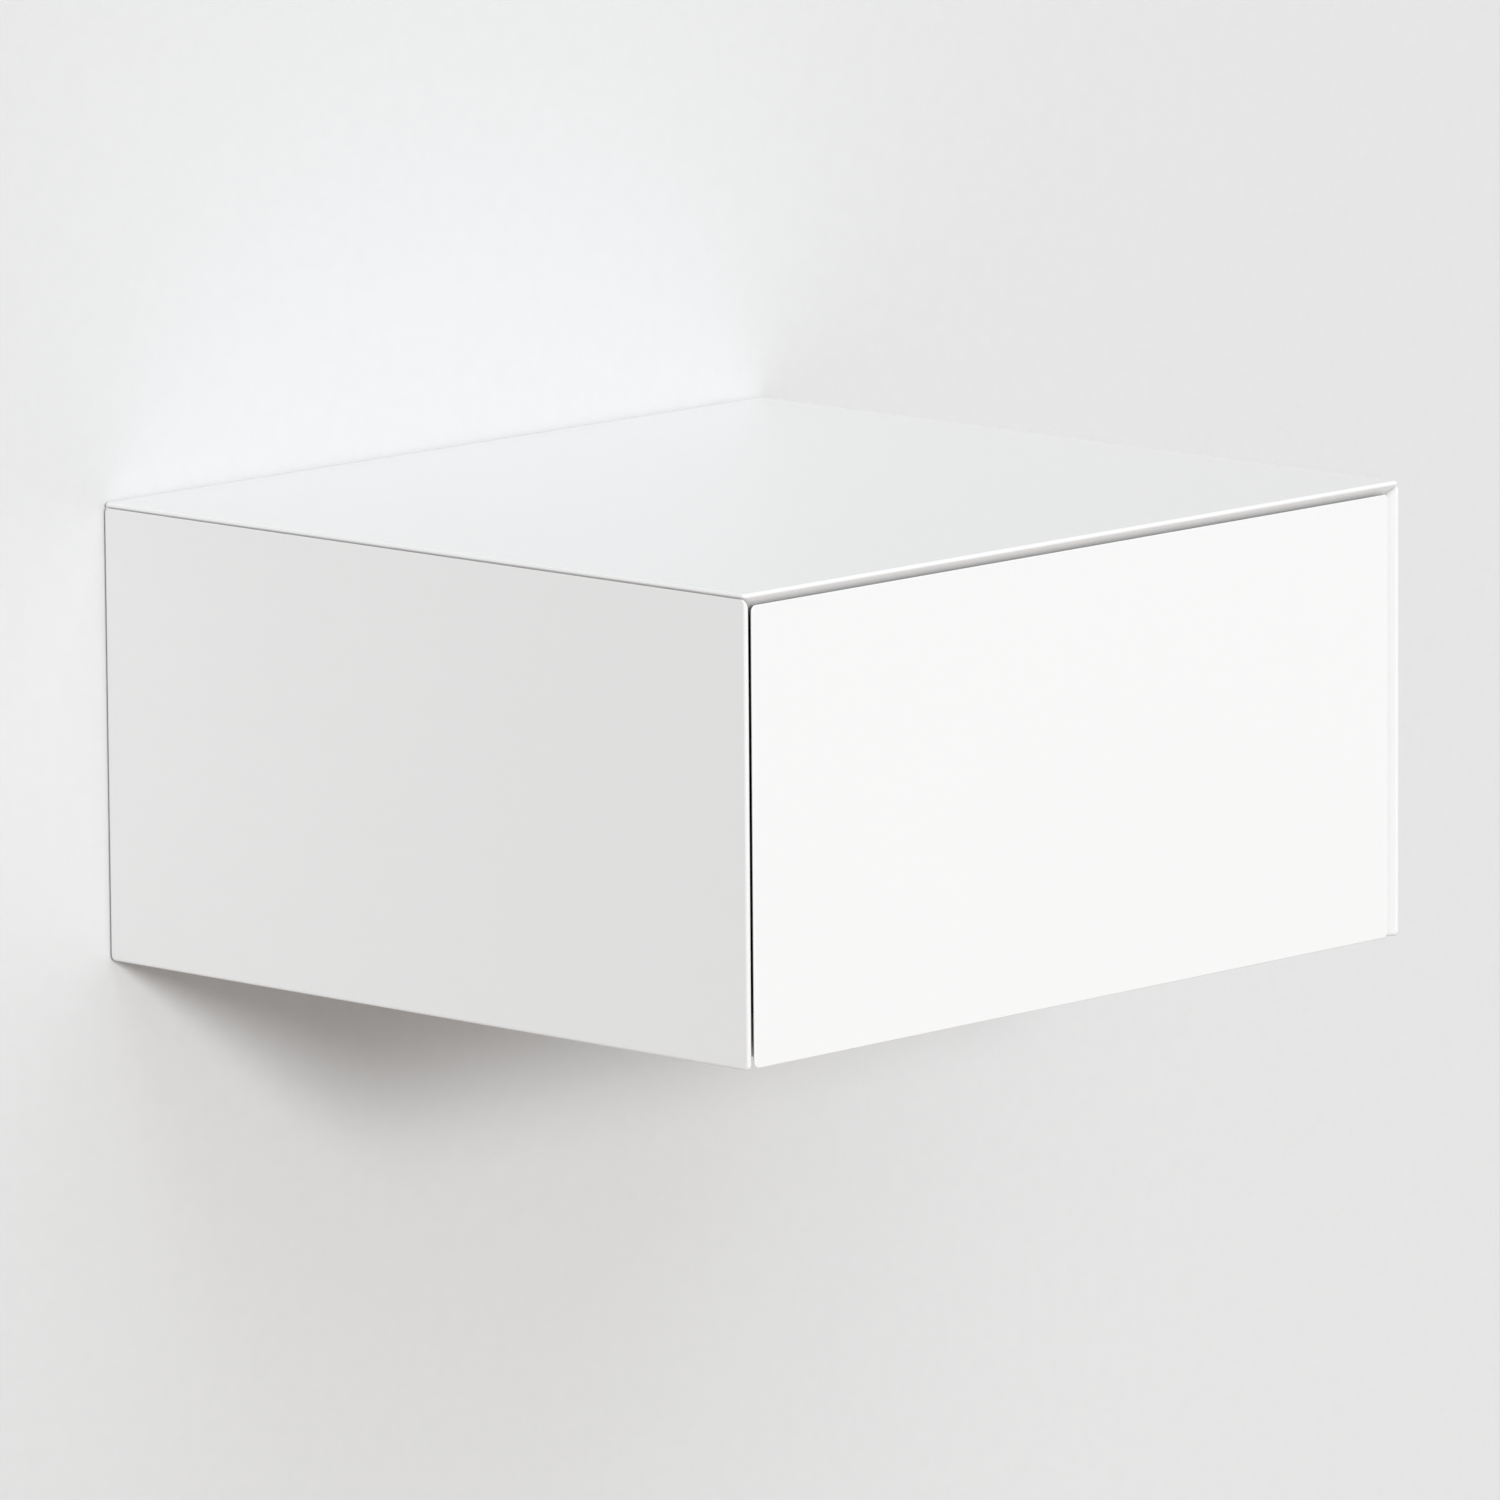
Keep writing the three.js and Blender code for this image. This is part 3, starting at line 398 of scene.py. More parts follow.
def lacquer_material(name):
    """White with a faint drift of tone and sheen, the film's waves, and specks at the wall."""
    material, tree, shader = new_material(name, Roughness=LACQUER_ROUGHNESS)
    position = position_on(tree)
    coat = place_group(tree, film, {"Position": position, "Peel per metre": PEEL_PER_METRE})
    roughness = calc(tree, "ADD", coat.outputs["Roughness Shift"], LACQUER_ROUGHNESS)
    tree.links.new(roughness, shader.inputs["Roughness"])
    bump(tree, shader, coat.outputs["Height"], PEEL_DEPTH)
    depth = add_node(tree, "ShaderNodeSeparateXYZ", {"Vector": position}).outputs["Y"]
    at_wall = smooth_between(tree, depth, *THIN_COAT_DEPTHS)
    specks = smooth_between(tree, noise(tree, position, SPECKS_PER_METRE, detail=5.0), *SPECK_RANGE)
    clouds = noise(tree, position, LACQUER_CLOUDS_PER_METRE, detail=3.0)
    white = mix_color(tree, clouds, LACQUER_WHITE, LACQUER_WHITE_DEEP)
    thin = calc(tree, "MULTIPLY", at_wall, calc(tree, "MULTIPLY", specks, SPECK_STRENGTH))
    tree.links.new(mix_color(tree, thin, white, BARE_FIBREBOARD), shader.inputs["Base Color"])
    return material


white_lacquer = lacquer_material("white_lacquer")
print("finish:", white_lacquer.name)

# %% [markdown]
# ## Foil and moulded plastic
#
# The drawer box and the back panel are board wrapped in matt white foil, embossed with a fine
# leather-like grain so that it hides scratches. The latch is moulded in a tool whose walls were
# spark-eroded, which leaves a similar grain. So one group of embossing serves both, with its own
# size and depth in each.

# %% The embossing as a group, the foil and the plastics
SOFT_GRAIN_PER_METRE = 700.0
RUBBED_PER_METRE = 25.0
RUBBED_RANGE = (0.35, 0.75)
RUBBED_SHIFT = (-0.06, 0.05)
TONES_PER_METRE = 30.0

emboss, emboss_in, emboss_out = new_group(
    "fine_emboss", {"Position": None, "Cells per metre": 1500.0}, ("Height", "Roughness Shift"))
emboss_position = emboss_in.outputs["Position"]
cells = add_node(emboss, "ShaderNodeTexVoronoi", {
    "Vector": emboss_position, "Scale": emboss_in.outputs["Cells per metre"],
}, feature="SMOOTH_F1").outputs["Distance"]
soft = noise(emboss, emboss_position, SOFT_GRAIN_PER_METRE, detail=3.0)
emboss.links.new(calc(emboss, "ADD", cells, soft), emboss_out.inputs["Height"])
rubbed = noise(emboss, emboss_position, RUBBED_PER_METRE, detail=4.0)
emboss_shift = smooth_between(emboss, rubbed, *RUBBED_RANGE, *RUBBED_SHIFT)
emboss.links.new(emboss_shift, emboss_out.inputs["Roughness Shift"])


def embossed_material(name, light, dark, roughness, cells_per_metre, depth):
    """Board foil or moulded plastic: two near tones, fine relief and slightly uneven gloss."""
    material, tree, shader = new_material(name, Roughness=roughness)
    position = position_on(tree)
    relief = place_group(tree, emboss, {"Position": position, "Cells per metre": cells_per_metre})
    bump(tree, shader, relief.outputs["Height"], depth)
    uneven = calc(tree, "ADD", relief.outputs["Roughness Shift"], roughness)
    tree.links.new(uneven, shader.inputs["Roughness"])
    tone = noise(tree, position, TONES_PER_METRE, detail=4.0)
    tree.links.new(mix_color(tree, tone, light, dark), shader.inputs["Base Color"])
    return material


board_foil = embossed_material(
    "board_foil", light=(0.80, 0.79, 0.76, 1), dark=(0.77, 0.76, 0.73, 1),
    roughness=0.52, cells_per_metre=1400.0, depth=0.02 * MM)
grey_plastic = embossed_material(
    "grey_plastic", light=(0.27, 0.29, 0.30, 1), dark=(0.23, 0.25, 0.26, 1),
    roughness=0.46, cells_per_metre=2200.0, depth=0.02 * MM)
dark_plastic = embossed_material(
    "dark_plastic", light=(0.030, 0.030, 0.035, 1), dark=(0.045, 0.045, 0.050, 1),
    roughness=0.38, cells_per_metre=3000.0, depth=0.006 * MM)
print("finishes:", board_foil.name, grey_plastic.name, dark_plastic.name)

# %% [markdown]
# ## Plywood
#
# The rail and the cleat are sanded plywood, cut from a sheet that stands upright, so the plies
# follow one another with the depth from the wall. A solid pattern is the honest way: the number of
# a ply is the depth divided by its thickness, rounded down. Even plies run their grain along the
# length and odd ones upright. Cut through, they show as pale and dark stripes on every edge,
# bevel and hole, with a thin dark glue line between them. Sanding has left little of the face ply.

# %% Plywood
PLY_THICKNESS = 1.45 * MM
FACE_PLY = 0.19 * MM  # what sanding has left of the ply at the face
PLYWOOD_ROUGHNESS = 0.72
LONG_GRAIN_PER_METRE = 90.0
CROSS_GRAIN_PER_METRE = 600.0
ALONG_THE_LENGTH = (0.06, 1, 1)
UPRIGHT = (1, 1, 0.12)
LONG_GRAIN_RANGE = (0.38, 0.66)
CROSS_GRAIN_RANGE = (0.35, 0.65)
GLUE_RANGE = (0.43, 0.49)  # shares of a ply, from its middle at 0 to its face at 0.5
GRAIN_DEPTH = 0.08 * MM
EARLY_WOOD = (0.66, 0.50, 0.32, 1)
LATE_WOOD = (0.50, 0.35, 0.20, 1)
END_GRAIN = (0.44, 0.30, 0.18, 1)
END_GRAIN_PALE = (0.56, 0.41, 0.26, 1)
GLUE_LINE = (0.20, 0.13, 0.08, 1)

plywood, ply_tree, ply_shader = new_material("plywood", Roughness=PLYWOOD_ROUGHNESS)
ply_position = position_on(ply_tree)
ply_depth = add_node(ply_tree, "ShaderNodeSeparateXYZ", {"Vector": ply_position}).outputs["Y"]
ply_count = calc(ply_tree, "DIVIDE", calc(ply_tree, "ADD", ply_depth, FACE_PLY), PLY_THICKNESS)
is_odd = calc(ply_tree, "FLOORED_MODULO", calc(ply_tree, "FLOOR", ply_count), 2.0)
in_ply = calc(ply_tree, "FRACT", ply_count)
near_glue = calc(ply_tree, "ABSOLUTE", calc(ply_tree, "SUBTRACT", in_ply, 0.5))
long_grain = noise(
    ply_tree, ply_position, LONG_GRAIN_PER_METRE, detail=6.0, stretch=ALONG_THE_LENGTH)
cross_grain = noise(ply_tree, ply_position, CROSS_GRAIN_PER_METRE, detail=5.0, stretch=UPRIGHT)
long_streaks = smooth_between(ply_tree, long_grain, *LONG_GRAIN_RANGE)
cross_streaks = smooth_between(ply_tree, cross_grain, *CROSS_GRAIN_RANGE)
long_color = mix_color(ply_tree, long_streaks, EARLY_WOOD, LATE_WOOD)
cross_color = mix_color(ply_tree, cross_streaks, END_GRAIN, END_GRAIN_PALE)
wood_color = mix_color(ply_tree, is_odd, long_color, cross_color)
glue = smooth_between(ply_tree, near_glue, *GLUE_RANGE)
ply_color = mix_color(ply_tree, glue, wood_color, GLUE_LINE)
ply_tree.links.new(ply_color, ply_shader.inputs["Base Color"])
bump(ply_tree, ply_shader, long_grain, GRAIN_DEPTH)
print("finish:", plywood.name)

# %% [markdown]
# ## Rolled, plated and oiled steel
#
# The slides are rolled from zinc-plated strip. Rolling leaves fine lines along the strip, which
# lies front to back here, and the plating dulls in soft clouds. Cages and screws are other
# steels with the same two effects in other amounts, so the lines and clouds are a group.

# %% The rolling lines as a group, and the three steels
FRONT_TO_BACK = (1, 0.02, 1)
PLATING_CLOUDS_PER_METRE = 70.0
PLATING_CLOUD_RANGE = (0.3, 0.7)

rolled, rolled_in, rolled_out = new_group(
    "rolling_lines", {"Position": None, "Lines per metre": 2500.0}, ("Height", "Clouds"))
rolled_position = rolled_in.outputs["Position"]
lines = noise(
    rolled, rolled_position, rolled_in.outputs["Lines per metre"], detail=3.0,
    stretch=FRONT_TO_BACK)
clouds = noise(rolled, rolled_position, PLATING_CLOUDS_PER_METRE, detail=4.0)
rolled.links.new(lines, rolled_out.inputs["Height"])
rolled.links.new(
    smooth_between(rolled, clouds, *PLATING_CLOUD_RANGE), rolled_out.inputs["Clouds"])


def steel_material(name, bright, dull, smoothest, roughest, lines_per_metre, depth):
    """Metal whose colour and roughness both follow the clouds, with fine lines on top."""
    material, tree, shader = new_material(name, Metallic=1.0)
    marks = place_group(tree, rolled, {
        "Position": position_on(tree), "Lines per metre": lines_per_metre,
    })
    tone = marks.outputs["Clouds"]
    tree.links.new(mix_color(tree, tone, bright, dull), shader.inputs["Base Color"])
    roughness = smooth_between(tree, tone, 0.0, 1.0, smoothest, roughest)
    tree.links.new(roughness, shader.inputs["Roughness"])
    bump(tree, shader, marks.outputs["Height"], depth)
    return material


zinc_steel = steel_material(
    "zinc_steel", bright=(0.64, 0.66, 0.68, 1), dull=(0.60, 0.62, 0.645, 1),
    smoothest=0.30, roughest=0.37, lines_per_metre=2500.0, depth=0.01 * MM)
cage_steel = steel_material(
    "cage_steel", bright=(0.46, 0.47, 0.49, 1), dull=(0.36, 0.37, 0.39, 1),
    smoothest=0.18, roughest=0.34, lines_per_metre=3200.0, depth=0.006 * MM)
screw_steel = steel_material(
    "screw_steel", bright=(0.70, 0.67, 0.58, 1), dull=(0.62, 0.61, 0.58, 1),
    smoothest=0.24, roughest=0.38, lines_per_metre=3000.0, depth=0.004 * MM)
print("finishes:", zinc_steel.name, cage_steel.name, screw_steel.name)

# %% [markdown]
# ## Each solid gets its finish
#
# The record names a material slot for every piece. One table turns the slot into a finish, and
# the solids that are already right in shape need nothing more.

# %% Finishes onto the solids
finish_of_slot = {
    "white_lacquer": white_lacquer,
    "drawer_board": board_foil,
    "raw_board": plywood,
    "zinc_steel": zinc_steel,
    "cage_steel": cage_steel,
    "screw_steel": screw_steel,
    "grey_plastic": grey_plastic,
    "dark_plastic": dark_plastic,
}
for name, solid in nodes.items():
    solid.data.materials.clear()
    solid.data.materials.append(finish_of_slot[slot_of_node[name]])
print("dressed solids:", len(nodes))

# %% [markdown]
# ## From arrays to pieces
#
# The new pieces below are all closed surfaces of rings: a grid of two parameters, one that runs
# from ring to ring and one that runs round each ring. A numpy array of rings becomes the
# vertices, and index arithmetic makes the faces. At both ends the last ring is closed by one flat
# face or, where a centre point is given, by a fan of triangles.

# %% Closed surfaces of rings
SHARP_ANGLE = math.radians(34)


def shell_of_rings(rings, first_centre=None, last_centre=None):
    """Vertices and faces of a closed tube: rings[i, j] is its point at i along and j round it."""
    rows, around = rings.shape[:2]
    grid = np.arange(rows * around).reshape(rows, around)
    beside = np.roll(grid, -1, axis=1)
    quads = np.stack([grid[:-1], beside[:-1], beside[1:], grid[1:]], axis=-1).reshape(-1, 4)
    points = [rings.reshape(-1, 3)]
    faces = quads.tolist()
    for centre, ring in ((first_centre, grid[0][::-1]), (last_centre, grid[-1])):
        if centre is None:
            faces.append(ring.tolist())
            continue
        pole = sum(len(p) for p in points)
        points.append(np.reshape(centre, (1, 3)))
        fan = np.stack([ring, np.roll(ring, -1), np.full(around, pole)], axis=-1)
        faces.extend(fan.tolist())
    return np.concatenate(points), faces


def enclosed_volume(points, faces):
    """Sum of the tetrahedra from the origin to each face: above zero when faces point outwards."""
    corners = np.array([(f[0], f[k], f[k + 1]) for f in faces for k in range(1, len(f) - 1)])
    a, b, c = (points[corners[:, k]] for k in range(3))
    return float(np.einsum("ij,ij->i", a, np.cross(b, c)).sum() / 6)


def smooth_piece(obj):
    """Shades an object smooth except over sharp edges; big flat faces keep their flat normals."""
    obj.data.shade_smooth()
    obj.data.set_sharp_from_angle(angle=SHARP_ANGLE)
    modifier = obj.modifiers.new("flat_faces_lead", "WEIGHTED_NORMAL")
    modifier.keep_sharp = True


def new_piece(name, shells, node):
    """Joins shells into one object that stands for a solid and takes its finish and its body."""
    points, faces, offset = [], [], 0
    for shell_points, shell_faces in shells:
        if enclosed_volume(shell_points, shell_faces) < 0:
            shell_faces = [face[::-1] for face in shell_faces]
        faces.extend([index + offset for index in face] for face in shell_faces)
        points.append(shell_points)
        offset += len(shell_points)
    mesh = bpy.data.meshes.new(name)
    mesh.from_pydata(np.concatenate(points), [], faces)
    return stand_for(name, mesh, node)


def stand_for(name, mesh, node):
    """Makes the mesh an object that replaces a solid, with the solid's finish and its motion."""
    mesh.materials.clear()
    mesh.materials.append(finish_of_slot[slot_of_node[node]])
    obj = add_object(name, mesh)
    smooth_piece(obj)
    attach(obj, body_of_node[node])
    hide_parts(node)
    return obj


# %% [markdown]
# ## The drawer front
#
# The front is the face that everyone sees: 16 mm board whose left, right and top edges run back at
# 45 degrees so that it nests a little way back between the bevels of the case, as a picture does
# in its frame. Each edge starts with a tiny rounded arris. The plate is a stack of rounded
# rectangles, one for each depth below its face, and each of its four sides stands in from the
# outline by its own edge formula.

# %% Drawer front
FRONT_ARRIS = 0.5 * MM
FRONT_CORNER = 2.5 * MM
FRONT_DEEP = 16 * MM
ARRIS_ROWS = 14
CORNER_POINTS = 12


def knife_edge(depth, radius):
    """Inset of an edge that rounds its arris and then runs back at 45 degrees under the face."""
    arris = radius - np.sqrt(np.maximum(radius ** 2 - (radius - depth) ** 2, 0))
    return np.where(depth > radius * (1 + math.sqrt(0.5)), depth - radius * math.sqrt(2), arris)


def round_edge(depth, radius):
    """Inset of an edge with a rounded arris and an upright side."""
    inside = np.minimum(depth, radius)
    return radius - np.sqrt(radius ** 2 - (radius - inside) ** 2)


def rounded_rectangles(low_u, high_u, low_v, high_v, radius, points):
    """Rings round rectangles with quarter circles at the corners; the limits may be arrays."""
    right_angle = math.pi / 2
    quarter = np.linspace(0, right_angle, points)
    angle = np.concatenate([
        quarter - right_angle, quarter, quarter + right_angle, quarter + math.pi,
    ])
    on_right = np.repeat([True, True, False, False], points)
    on_top = np.repeat([False, True, True, False], points)
    u = np.where(on_right, (high_u - radius)[:, None], (low_u + radius)[:, None])
    v = np.where(on_top, (high_v - radius)[:, None], (low_v + radius)[:, None])
    return u + radius * np.cos(angle), v + radius * np.sin(angle)


low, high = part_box("drawer_front")
turned_by = np.linspace(0, math.pi * 3 / 4, ARRIS_ROWS)
depths = np.append(FRONT_ARRIS * (1 - np.cos(turned_by)), FRONT_DEEP)
bevel_inset = knife_edge(depths, FRONT_ARRIS)
foot_inset = round_edge(depths, FRONT_ARRIS)
x, z = rounded_rectangles(
    low.x + bevel_inset, high.x - bevel_inset, low.z + foot_inset, high.z - bevel_inset,
    FRONT_CORNER, CORNER_POINTS)
y = np.broadcast_to((low.y + depths)[:, None], x.shape)
front_shell = shell_of_rings(np.stack([x, y, z], axis=-1))
front = new_piece("lacquered_drawer_front", [front_shell], "drawer_front")
print(front.name, "faces:", len(front.data.polygons))

# %% [markdown]
# ## The mitred panels and the rolled slides
#
# These shapes are already right: grooves, holes, mitres and bends were cut in the solids. Only
# their shading shows facets, because an imported solid is loose triangles. So each is copied, its
# doubled points are merged, flat neighbours are dissolved into whole faces, and the copy is
# shaded smooth across small angles.

# %% Smooth copies of the panels, the slides and the latch housing
MERGE_DISTANCE = 0.002 * MM
FLAT_ANGLE = math.radians(0.3)


def smooth_copy(name, node):
    """Copies a solid's mesh, joins its triangles into whole faces and puts it in its place."""
    mesh = nodes[node].data.copy()
    mesh.name = name
    work = bmesh.new()
    work.from_mesh(mesh)
    bmesh.ops.remove_doubles(work, verts=work.verts, dist=MERGE_DISTANCE)
    bmesh.ops.dissolve_limit(work, angle_limit=FLAT_ANGLE, verts=work.verts, edges=work.edges)
    work.to_mesh(mesh)
    work.free()
    return stand_for(name, mesh, node)


panels = ["top_panel", "left_side_panel", "right_side_panel", "bottom_panel", "back_panel"]
slides = [
    f"{hand}_slide_{part}_member"
    for hand in ("left", "right")
    for part in ("case", "middle", "drawer")
]
box_boards = [
    "drawer_inner_front", "drawer_left_side", "drawer_right_side", "drawer_back", "drawer_bottom",
]
for node in panels + slides + box_boards + ["push_latch_housing"]:
    copy = smooth_copy(f"smooth_{node}", node)
    print(copy.name, "faces:", len(copy.data.polygons))

# %% [markdown]
# ## Screws
#
# Eighteen countersunk screws hold the slides, the front and the latch. One formula makes them
# all. Going outwards on the head and then down the shank, a row of points turns once round the
# axis at each step. On the head, a cross is pressed in: its depth is greatest at the centre and
# ends at the arms' sides. Below the head the radius gains a ridge that climbs as the angle grows,
# which is the thread.

# %% Screws
SCREW_POINTS = 48
HEAD_ROWS = 26
RIM_ROWS = 5
HEAD_RADIUS = 3.5 * MM
HEAD_RIM = 0.4 * MM
HEAD_DEPTH = 2.25 * MM
RIM_ROUNDING = 0.25 * MM
FIRST_RING_RADIUS = 0.12 * MM
THREAD_RADIUS = 1.75 * MM
CORE_RADIUS = 1.2 * MM
NECK_RADIUS = 1.1 * CORE_RADIUS
THREAD_PITCH = 1.4 * MM
THREAD_START = 0.3 * MM  # below the head
ROWS_PER_PITCH = 12
RIDGE_SHARE = 0.45  # the foot of the ridge, as a share of the pitch
RUN_IN_PITCHES = 1.5  # over these the ridge grows to its full height
POINT_LENGTH = 3 * MM
POINT_SHARE = 0.06  # the radius at the point, as a share of the shank's
POINT_SPARE = 0.02 * MM
CROSS_ARM = 2.0 * MM
CROSS_HALF_WIDTH = 0.42 * MM
CROSS_WALL = 0.12 * MM
CROSS_DEPTH = 1.3 * MM


def cross_recess(radius, angle):
    """Depth of the driver's cross: deepest at the centre, nothing beyond the arms."""
    u, v = np.abs(radius * np.cos(angle)), np.abs(radius * np.sin(angle))
    along, across = np.maximum(u, v), np.minimum(u, v)
    fall = np.clip(1 - along / CROSS_ARM, 0, 1) ** 0.5
    half_width = CROSS_HALF_WIDTH * (0.7 + 0.5 * fall)
    wall = np.clip((half_width - across) / CROSS_WALL + 0.5, 0, 1)
    return CROSS_DEPTH * fall * wall


def screw_shell(start, along, length):
    """A screw from its head's face at start, pointing along, as rings of radius and distance."""
    angle = np.linspace(0, 2 * math.pi, SCREW_POINTS, endpoint=False)[None, :]
    head_radius = np.linspace(FIRST_RING_RADIUS, HEAD_RADIUS - RIM_ROUNDING, HEAD_ROWS)[:, None]
    head = cross_recess(head_radius, angle)
    rim_turn = np.linspace(0, math.pi / 2, RIM_ROWS)[1:, None]
    rim_radius = HEAD_RADIUS - RIM_ROUNDING * (1 - np.sin(rim_turn))
    rim = RIM_ROUNDING * (1 - np.cos(rim_turn))
    cone = np.array([HEAD_RIM, HEAD_DEPTH])[:, None]
    cone_radius = np.array([HEAD_RADIUS, NECK_RADIUS])[:, None]
    step = THREAD_PITCH / ROWS_PER_PITCH
    down = np.arange(HEAD_DEPTH + THREAD_START, length - POINT_SPARE, step)[:, None]
    taper = np.clip((length - down) / POINT_LENGTH, POINT_SHARE, 1)
    run_in = np.clip((down - HEAD_DEPTH) / (RUN_IN_PITCHES * THREAD_PITCH), 0, 1)
    phase = np.mod(down / THREAD_PITCH - angle / (2 * math.pi), 1)
    ridge = np.clip(1 - np.abs(2 * phase - 1) / RIDGE_SHARE, 0, 1)
    shank_radius = taper * (CORE_RADIUS + (THREAD_RADIUS - CORE_RADIUS) * ridge * run_in)
    every = np.ones_like(angle)
    radius = np.concatenate([
        head_radius * every, rim_radius * every, cone_radius * every, shank_radius,
    ])
    distance = np.concatenate([head, rim * every, cone * every, down * every])
    side = Vector((0, 0, 1)) if abs(along.z) < 0.5 else Vector((1, 0, 0))
    other = np.array(along.cross(side))
    start, along, side = np.array(start), np.array(along), np.array(side)
    outwards = np.cos(angle)[..., None] * side + np.sin(angle)[..., None] * other
    rings = start + distance[..., None] * along + radius[..., None] * outwards
    return shell_of_rings(rings, start + CROSS_DEPTH * along, start + length * along)


def screw_direction(node):
    """Outwards in the case, inwards in the drawer's sides, forwards in the front, else down."""
    outwards = Vector((-1, 0, 0)) if node.startswith("left") else Vector((1, 0, 0))
    if "case_slide" in node:
        return outwards
    if "drawer_slide" in node:
        return -outwards
    return Vector((0, -1, 0)) if node.startswith("front") else Vector((0, 0, -1))


for node in [name for name in nodes if "screw" in name]:
    low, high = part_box(node)
    along = screw_direction(node)
    length = abs((high - low).dot(along))
    start = (low + high) / 2 - along * length / 2
    screw = new_piece(f"threaded_{node}", [screw_shell(start, along, length)], node)
print("screws of", len(screw.data.polygons), "faces")

# %% [markdown]
# ## Ball cages
#
# Between the members of a slide, steel balls roll in two rows. A thin bent strip keeps them
# apart. The strip is a profile carried along a straight path: the middle line of the sheet, a
# three-sided channel with rounded bends, is thickened to both sides by half the sheet. Each ball
# is a sphere by latitude and longitude, held in the strip's flange.

# %% Ball cages
CAGE_SHEET = 0.5 * MM
CAGE_BEND = 0.6 * MM
CAGE_EDGE = 2.2 * MM  # from the flange's end to the middle of the balls
BEND_POINTS = 7
BALLS_PER_ROW = 5
BALL_ROWS = 15
BALL_POINTS = 28
BALL_RADIUS = {"outer": 1.9 * MM, "inner": 1.6 * MM}


def channel_line(web, flange_end, height):
    """The middle line of a channel, from the upper flange's end round two bends to the lower's."""
    toward = math.copysign(1, flange_end - web)
    bend = np.linspace(0, math.pi / 2, BEND_POINTS)
    upper_x = web + toward * CAGE_BEND * (1 - np.sin(bend))
    upper_z = height - CAGE_BEND * (1 - np.cos(bend))
    x = np.concatenate([[flange_end], upper_x, upper_x[::-1], [flange_end]])
    z = np.concatenate([[height], upper_z, -upper_z[::-1], [-height]])
    return np.stack([x, z], axis=-1)


def sheet_outline(line, thickness):
    """The line moved by half the thickness to its left, then back along its right."""
    ahead = np.gradient(line, axis=0)
    ahead /= np.linalg.norm(ahead, axis=1, keepdims=True)
    aside = np.stack([-ahead[:, 1], ahead[:, 0]], axis=-1) * thickness / 2
    return np.concatenate([line + aside, (line - aside)[::-1]])


def ball_shell(centre, radius):
    """A sphere: rings at equal steps of latitude between two poles."""
    latitude = np.linspace(0, math.pi, BALL_ROWS + 2)[1:-1, None]
    longitude = np.linspace(0, 2 * math.pi, BALL_POINTS, endpoint=False)[None, :]
    unit = np.stack([
        np.sin(latitude) * np.cos(longitude), np.sin(latitude) * np.sin(longitude),
        np.cos(latitude) * np.ones_like(longitude),
    ], axis=-1)
    pole = np.array((0, 0, radius))
    return shell_of_rings(centre + radius * unit, centre + pole, centre - pole)


def cage_shells(node, ball_radius):
    """The strip and its balls: five in each of two rows, spread evenly along the strip."""
    low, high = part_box(node)
    middle_z = (low.z + high.z) / 2
    ball_height = (high.z - low.z) / 2 - ball_radius
    on_left = node.startswith("left")
    web = low.x + CAGE_SHEET / 2 if on_left else high.x - CAGE_SHEET / 2
    flange_end = high.x if on_left else low.x
    ball_x = flange_end - math.copysign(CAGE_EDGE, flange_end - web)
    outline = sheet_outline(channel_line(web, flange_end, ball_height), CAGE_SHEET)
    ends = np.array([high.y, low.y])
    rings = np.stack([
        np.broadcast_to(outline[:, 0], (2, len(outline))),
        np.broadcast_to(ends[:, None], (2, len(outline))),
        np.broadcast_to(outline[:, 1] + middle_z, (2, len(outline))),
    ], axis=-1)
    shares = (np.arange(BALLS_PER_ROW) + 0.5) / BALLS_PER_ROW
    centres = [
        np.array((ball_x, high.y - share * (high.y - low.y), middle_z + up * ball_height))
        for share in shares
        for up in (-1, 1)
    ]
    return [shell_of_rings(rings)] + [ball_shell(centre, ball_radius) for centre in centres]


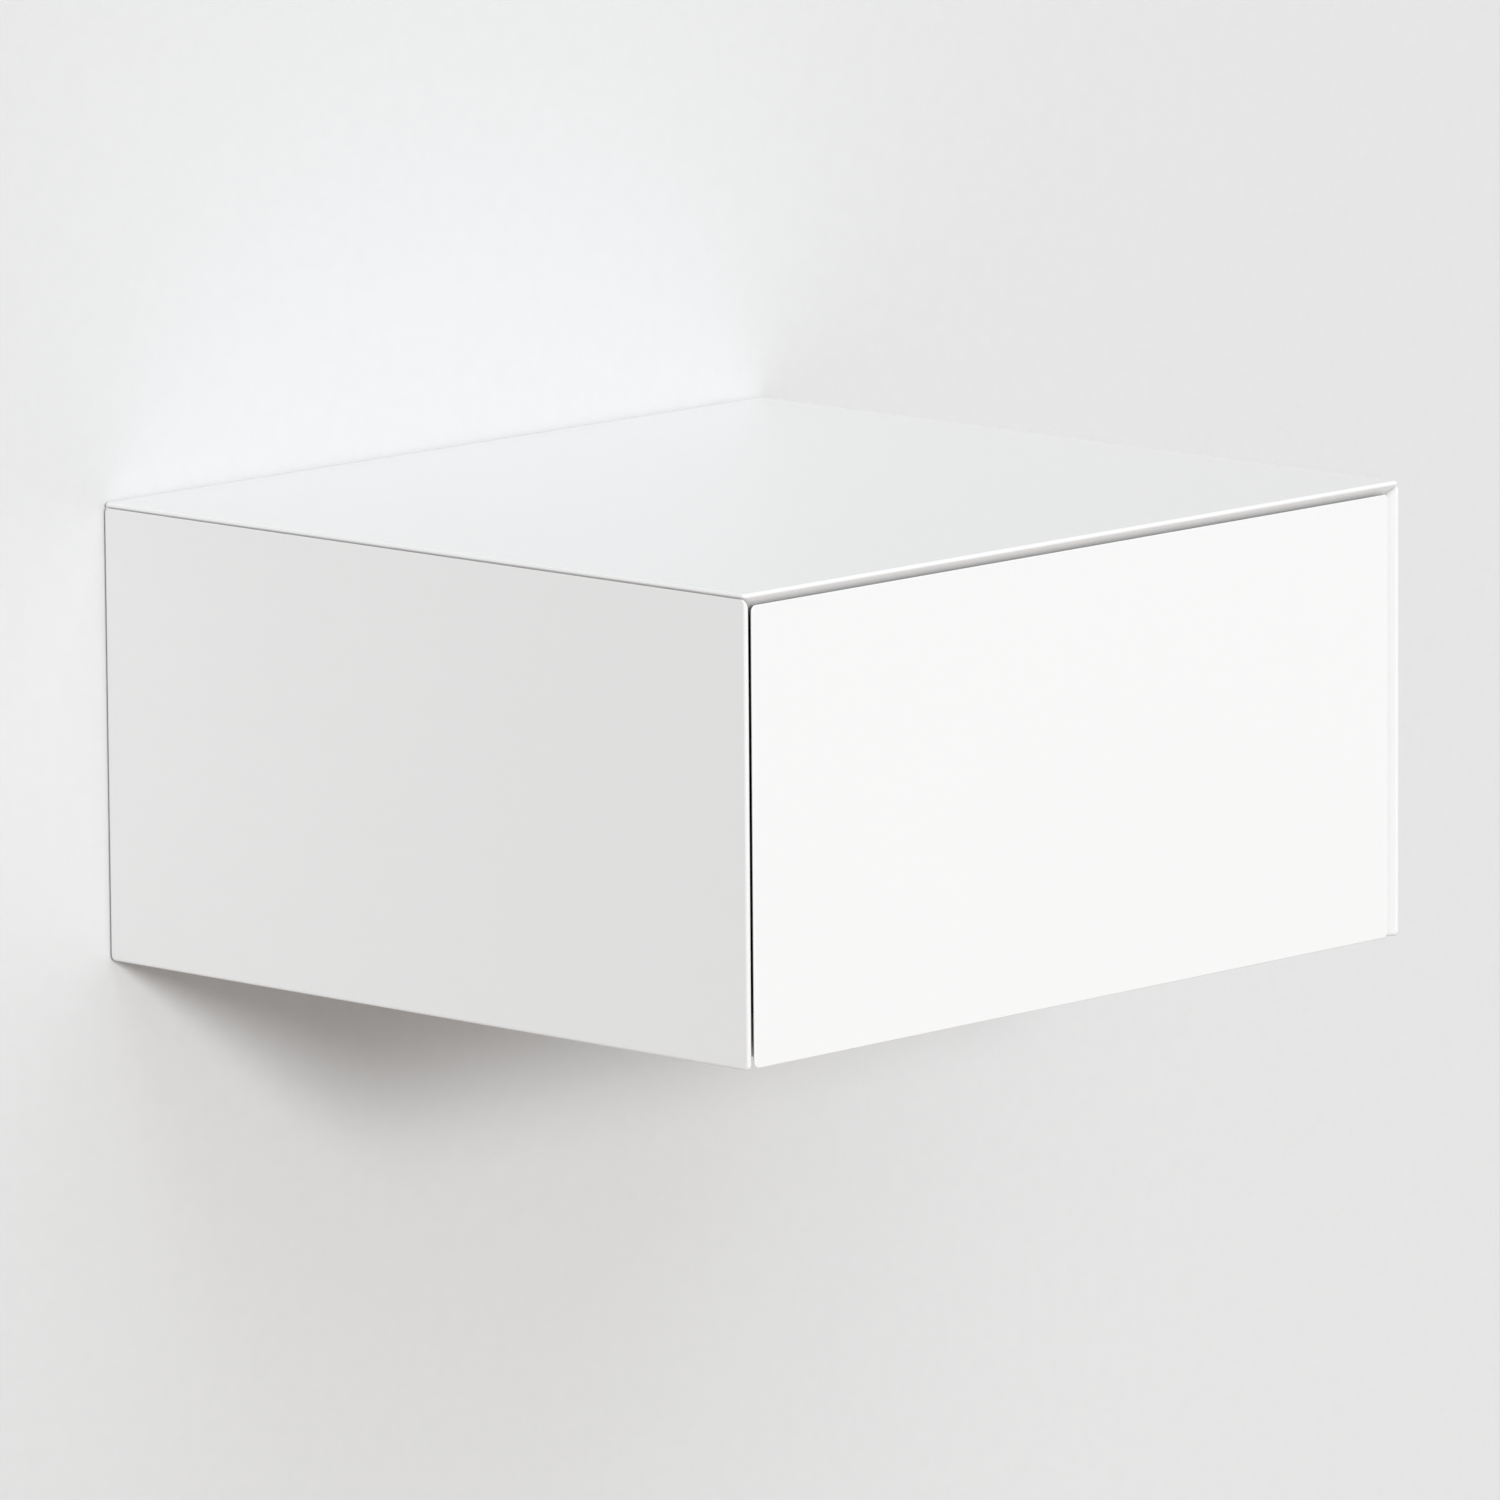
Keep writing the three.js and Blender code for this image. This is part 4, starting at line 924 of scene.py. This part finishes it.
for hand in ("left", "right"):
    for place_name, ball_radius in BALL_RADIUS.items():
        node = f"{hand}_slide_{place_name}_ball_cage"
        shells = cage_shells(node, ball_radius)
        cage = new_piece(f"{hand}_{place_name}_balls_and_strip", shells, node)
print("ball cages of", len(cage.data.polygons), "faces")

# %% [markdown]
# ## Plunger and strike plate
#
# Both are turned shapes: a profile of radius against distance, spun about an axis that runs
# front to back. The plunger's nose carries a small magnet in a ring, which holds the front shut.
# The strike plate on the drawer front is a pressed disc with a dimple for its pin.

# %% Turned pieces of the latch
TURNED_POINTS = 64


def turned_shell(profile, centre_x, start_y, centre_z, toward):
    """Spins (radius, distance) pairs about the line that leaves start_y towards front or rear."""
    radius, distance = np.array(profile).T[:, :, None] * MM
    angle = np.linspace(0, 2 * math.pi, TURNED_POINTS, endpoint=False)[None, :]
    every = np.ones_like(angle)
    rings = np.stack([
        centre_x + radius * np.cos(angle), start_y + toward * distance * every,
        centre_z + radius * np.sin(angle),
    ], axis=-1)
    first = (centre_x, start_y + toward * distance[0, 0], centre_z)
    last = (centre_x, start_y + toward * distance[-1, 0], centre_z)
    return shell_of_rings(rings, first, last)


# Pairs of (radius, distance) in millimetres, each row starting at the face that meets the other.
PLUNGER_PROFILE = [
    (0.6, 0.35), (2.3, 0.35), (2.4, 0.25), (2.5, 0.0), (3.0, 0.0), (3.5, 0.12), (3.86, 0.5),
    (4.0, 1.0), (4.0, 4.0), (3.8, 4.2), (3.8, 4.9), (4.0, 5.1), (4.0, 51.6), (3.6, 52.0),
    (0.6, 52.0),
]
STRIKE_PROFILE = [
    (0.3, 0.45), (0.9, 0.4), (1.5, 0.1), (1.7, 0.02), (2.0, 0.0), (5.1, 0.0), (5.35, 0.08),
    (5.5, 0.3), (5.5, 1.0), (0.3, 1.0),
]
low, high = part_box("push_latch_plunger")
middle = (low + high) / 2
plunger = new_piece("turned_plunger", [
    turned_shell(PLUNGER_PROFILE, middle.x, low.y, middle.z, 1)], "push_latch_plunger")
low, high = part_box("latch_strike_plate")
middle = (low + high) / 2
strike = new_piece("pressed_strike_plate", [
    turned_shell(STRIKE_PROFILE, middle.x, high.y, middle.z, -1)], "latch_strike_plate")
print(plunger.name, len(plunger.data.polygons), " ", strike.name, len(strike.data.polygons))
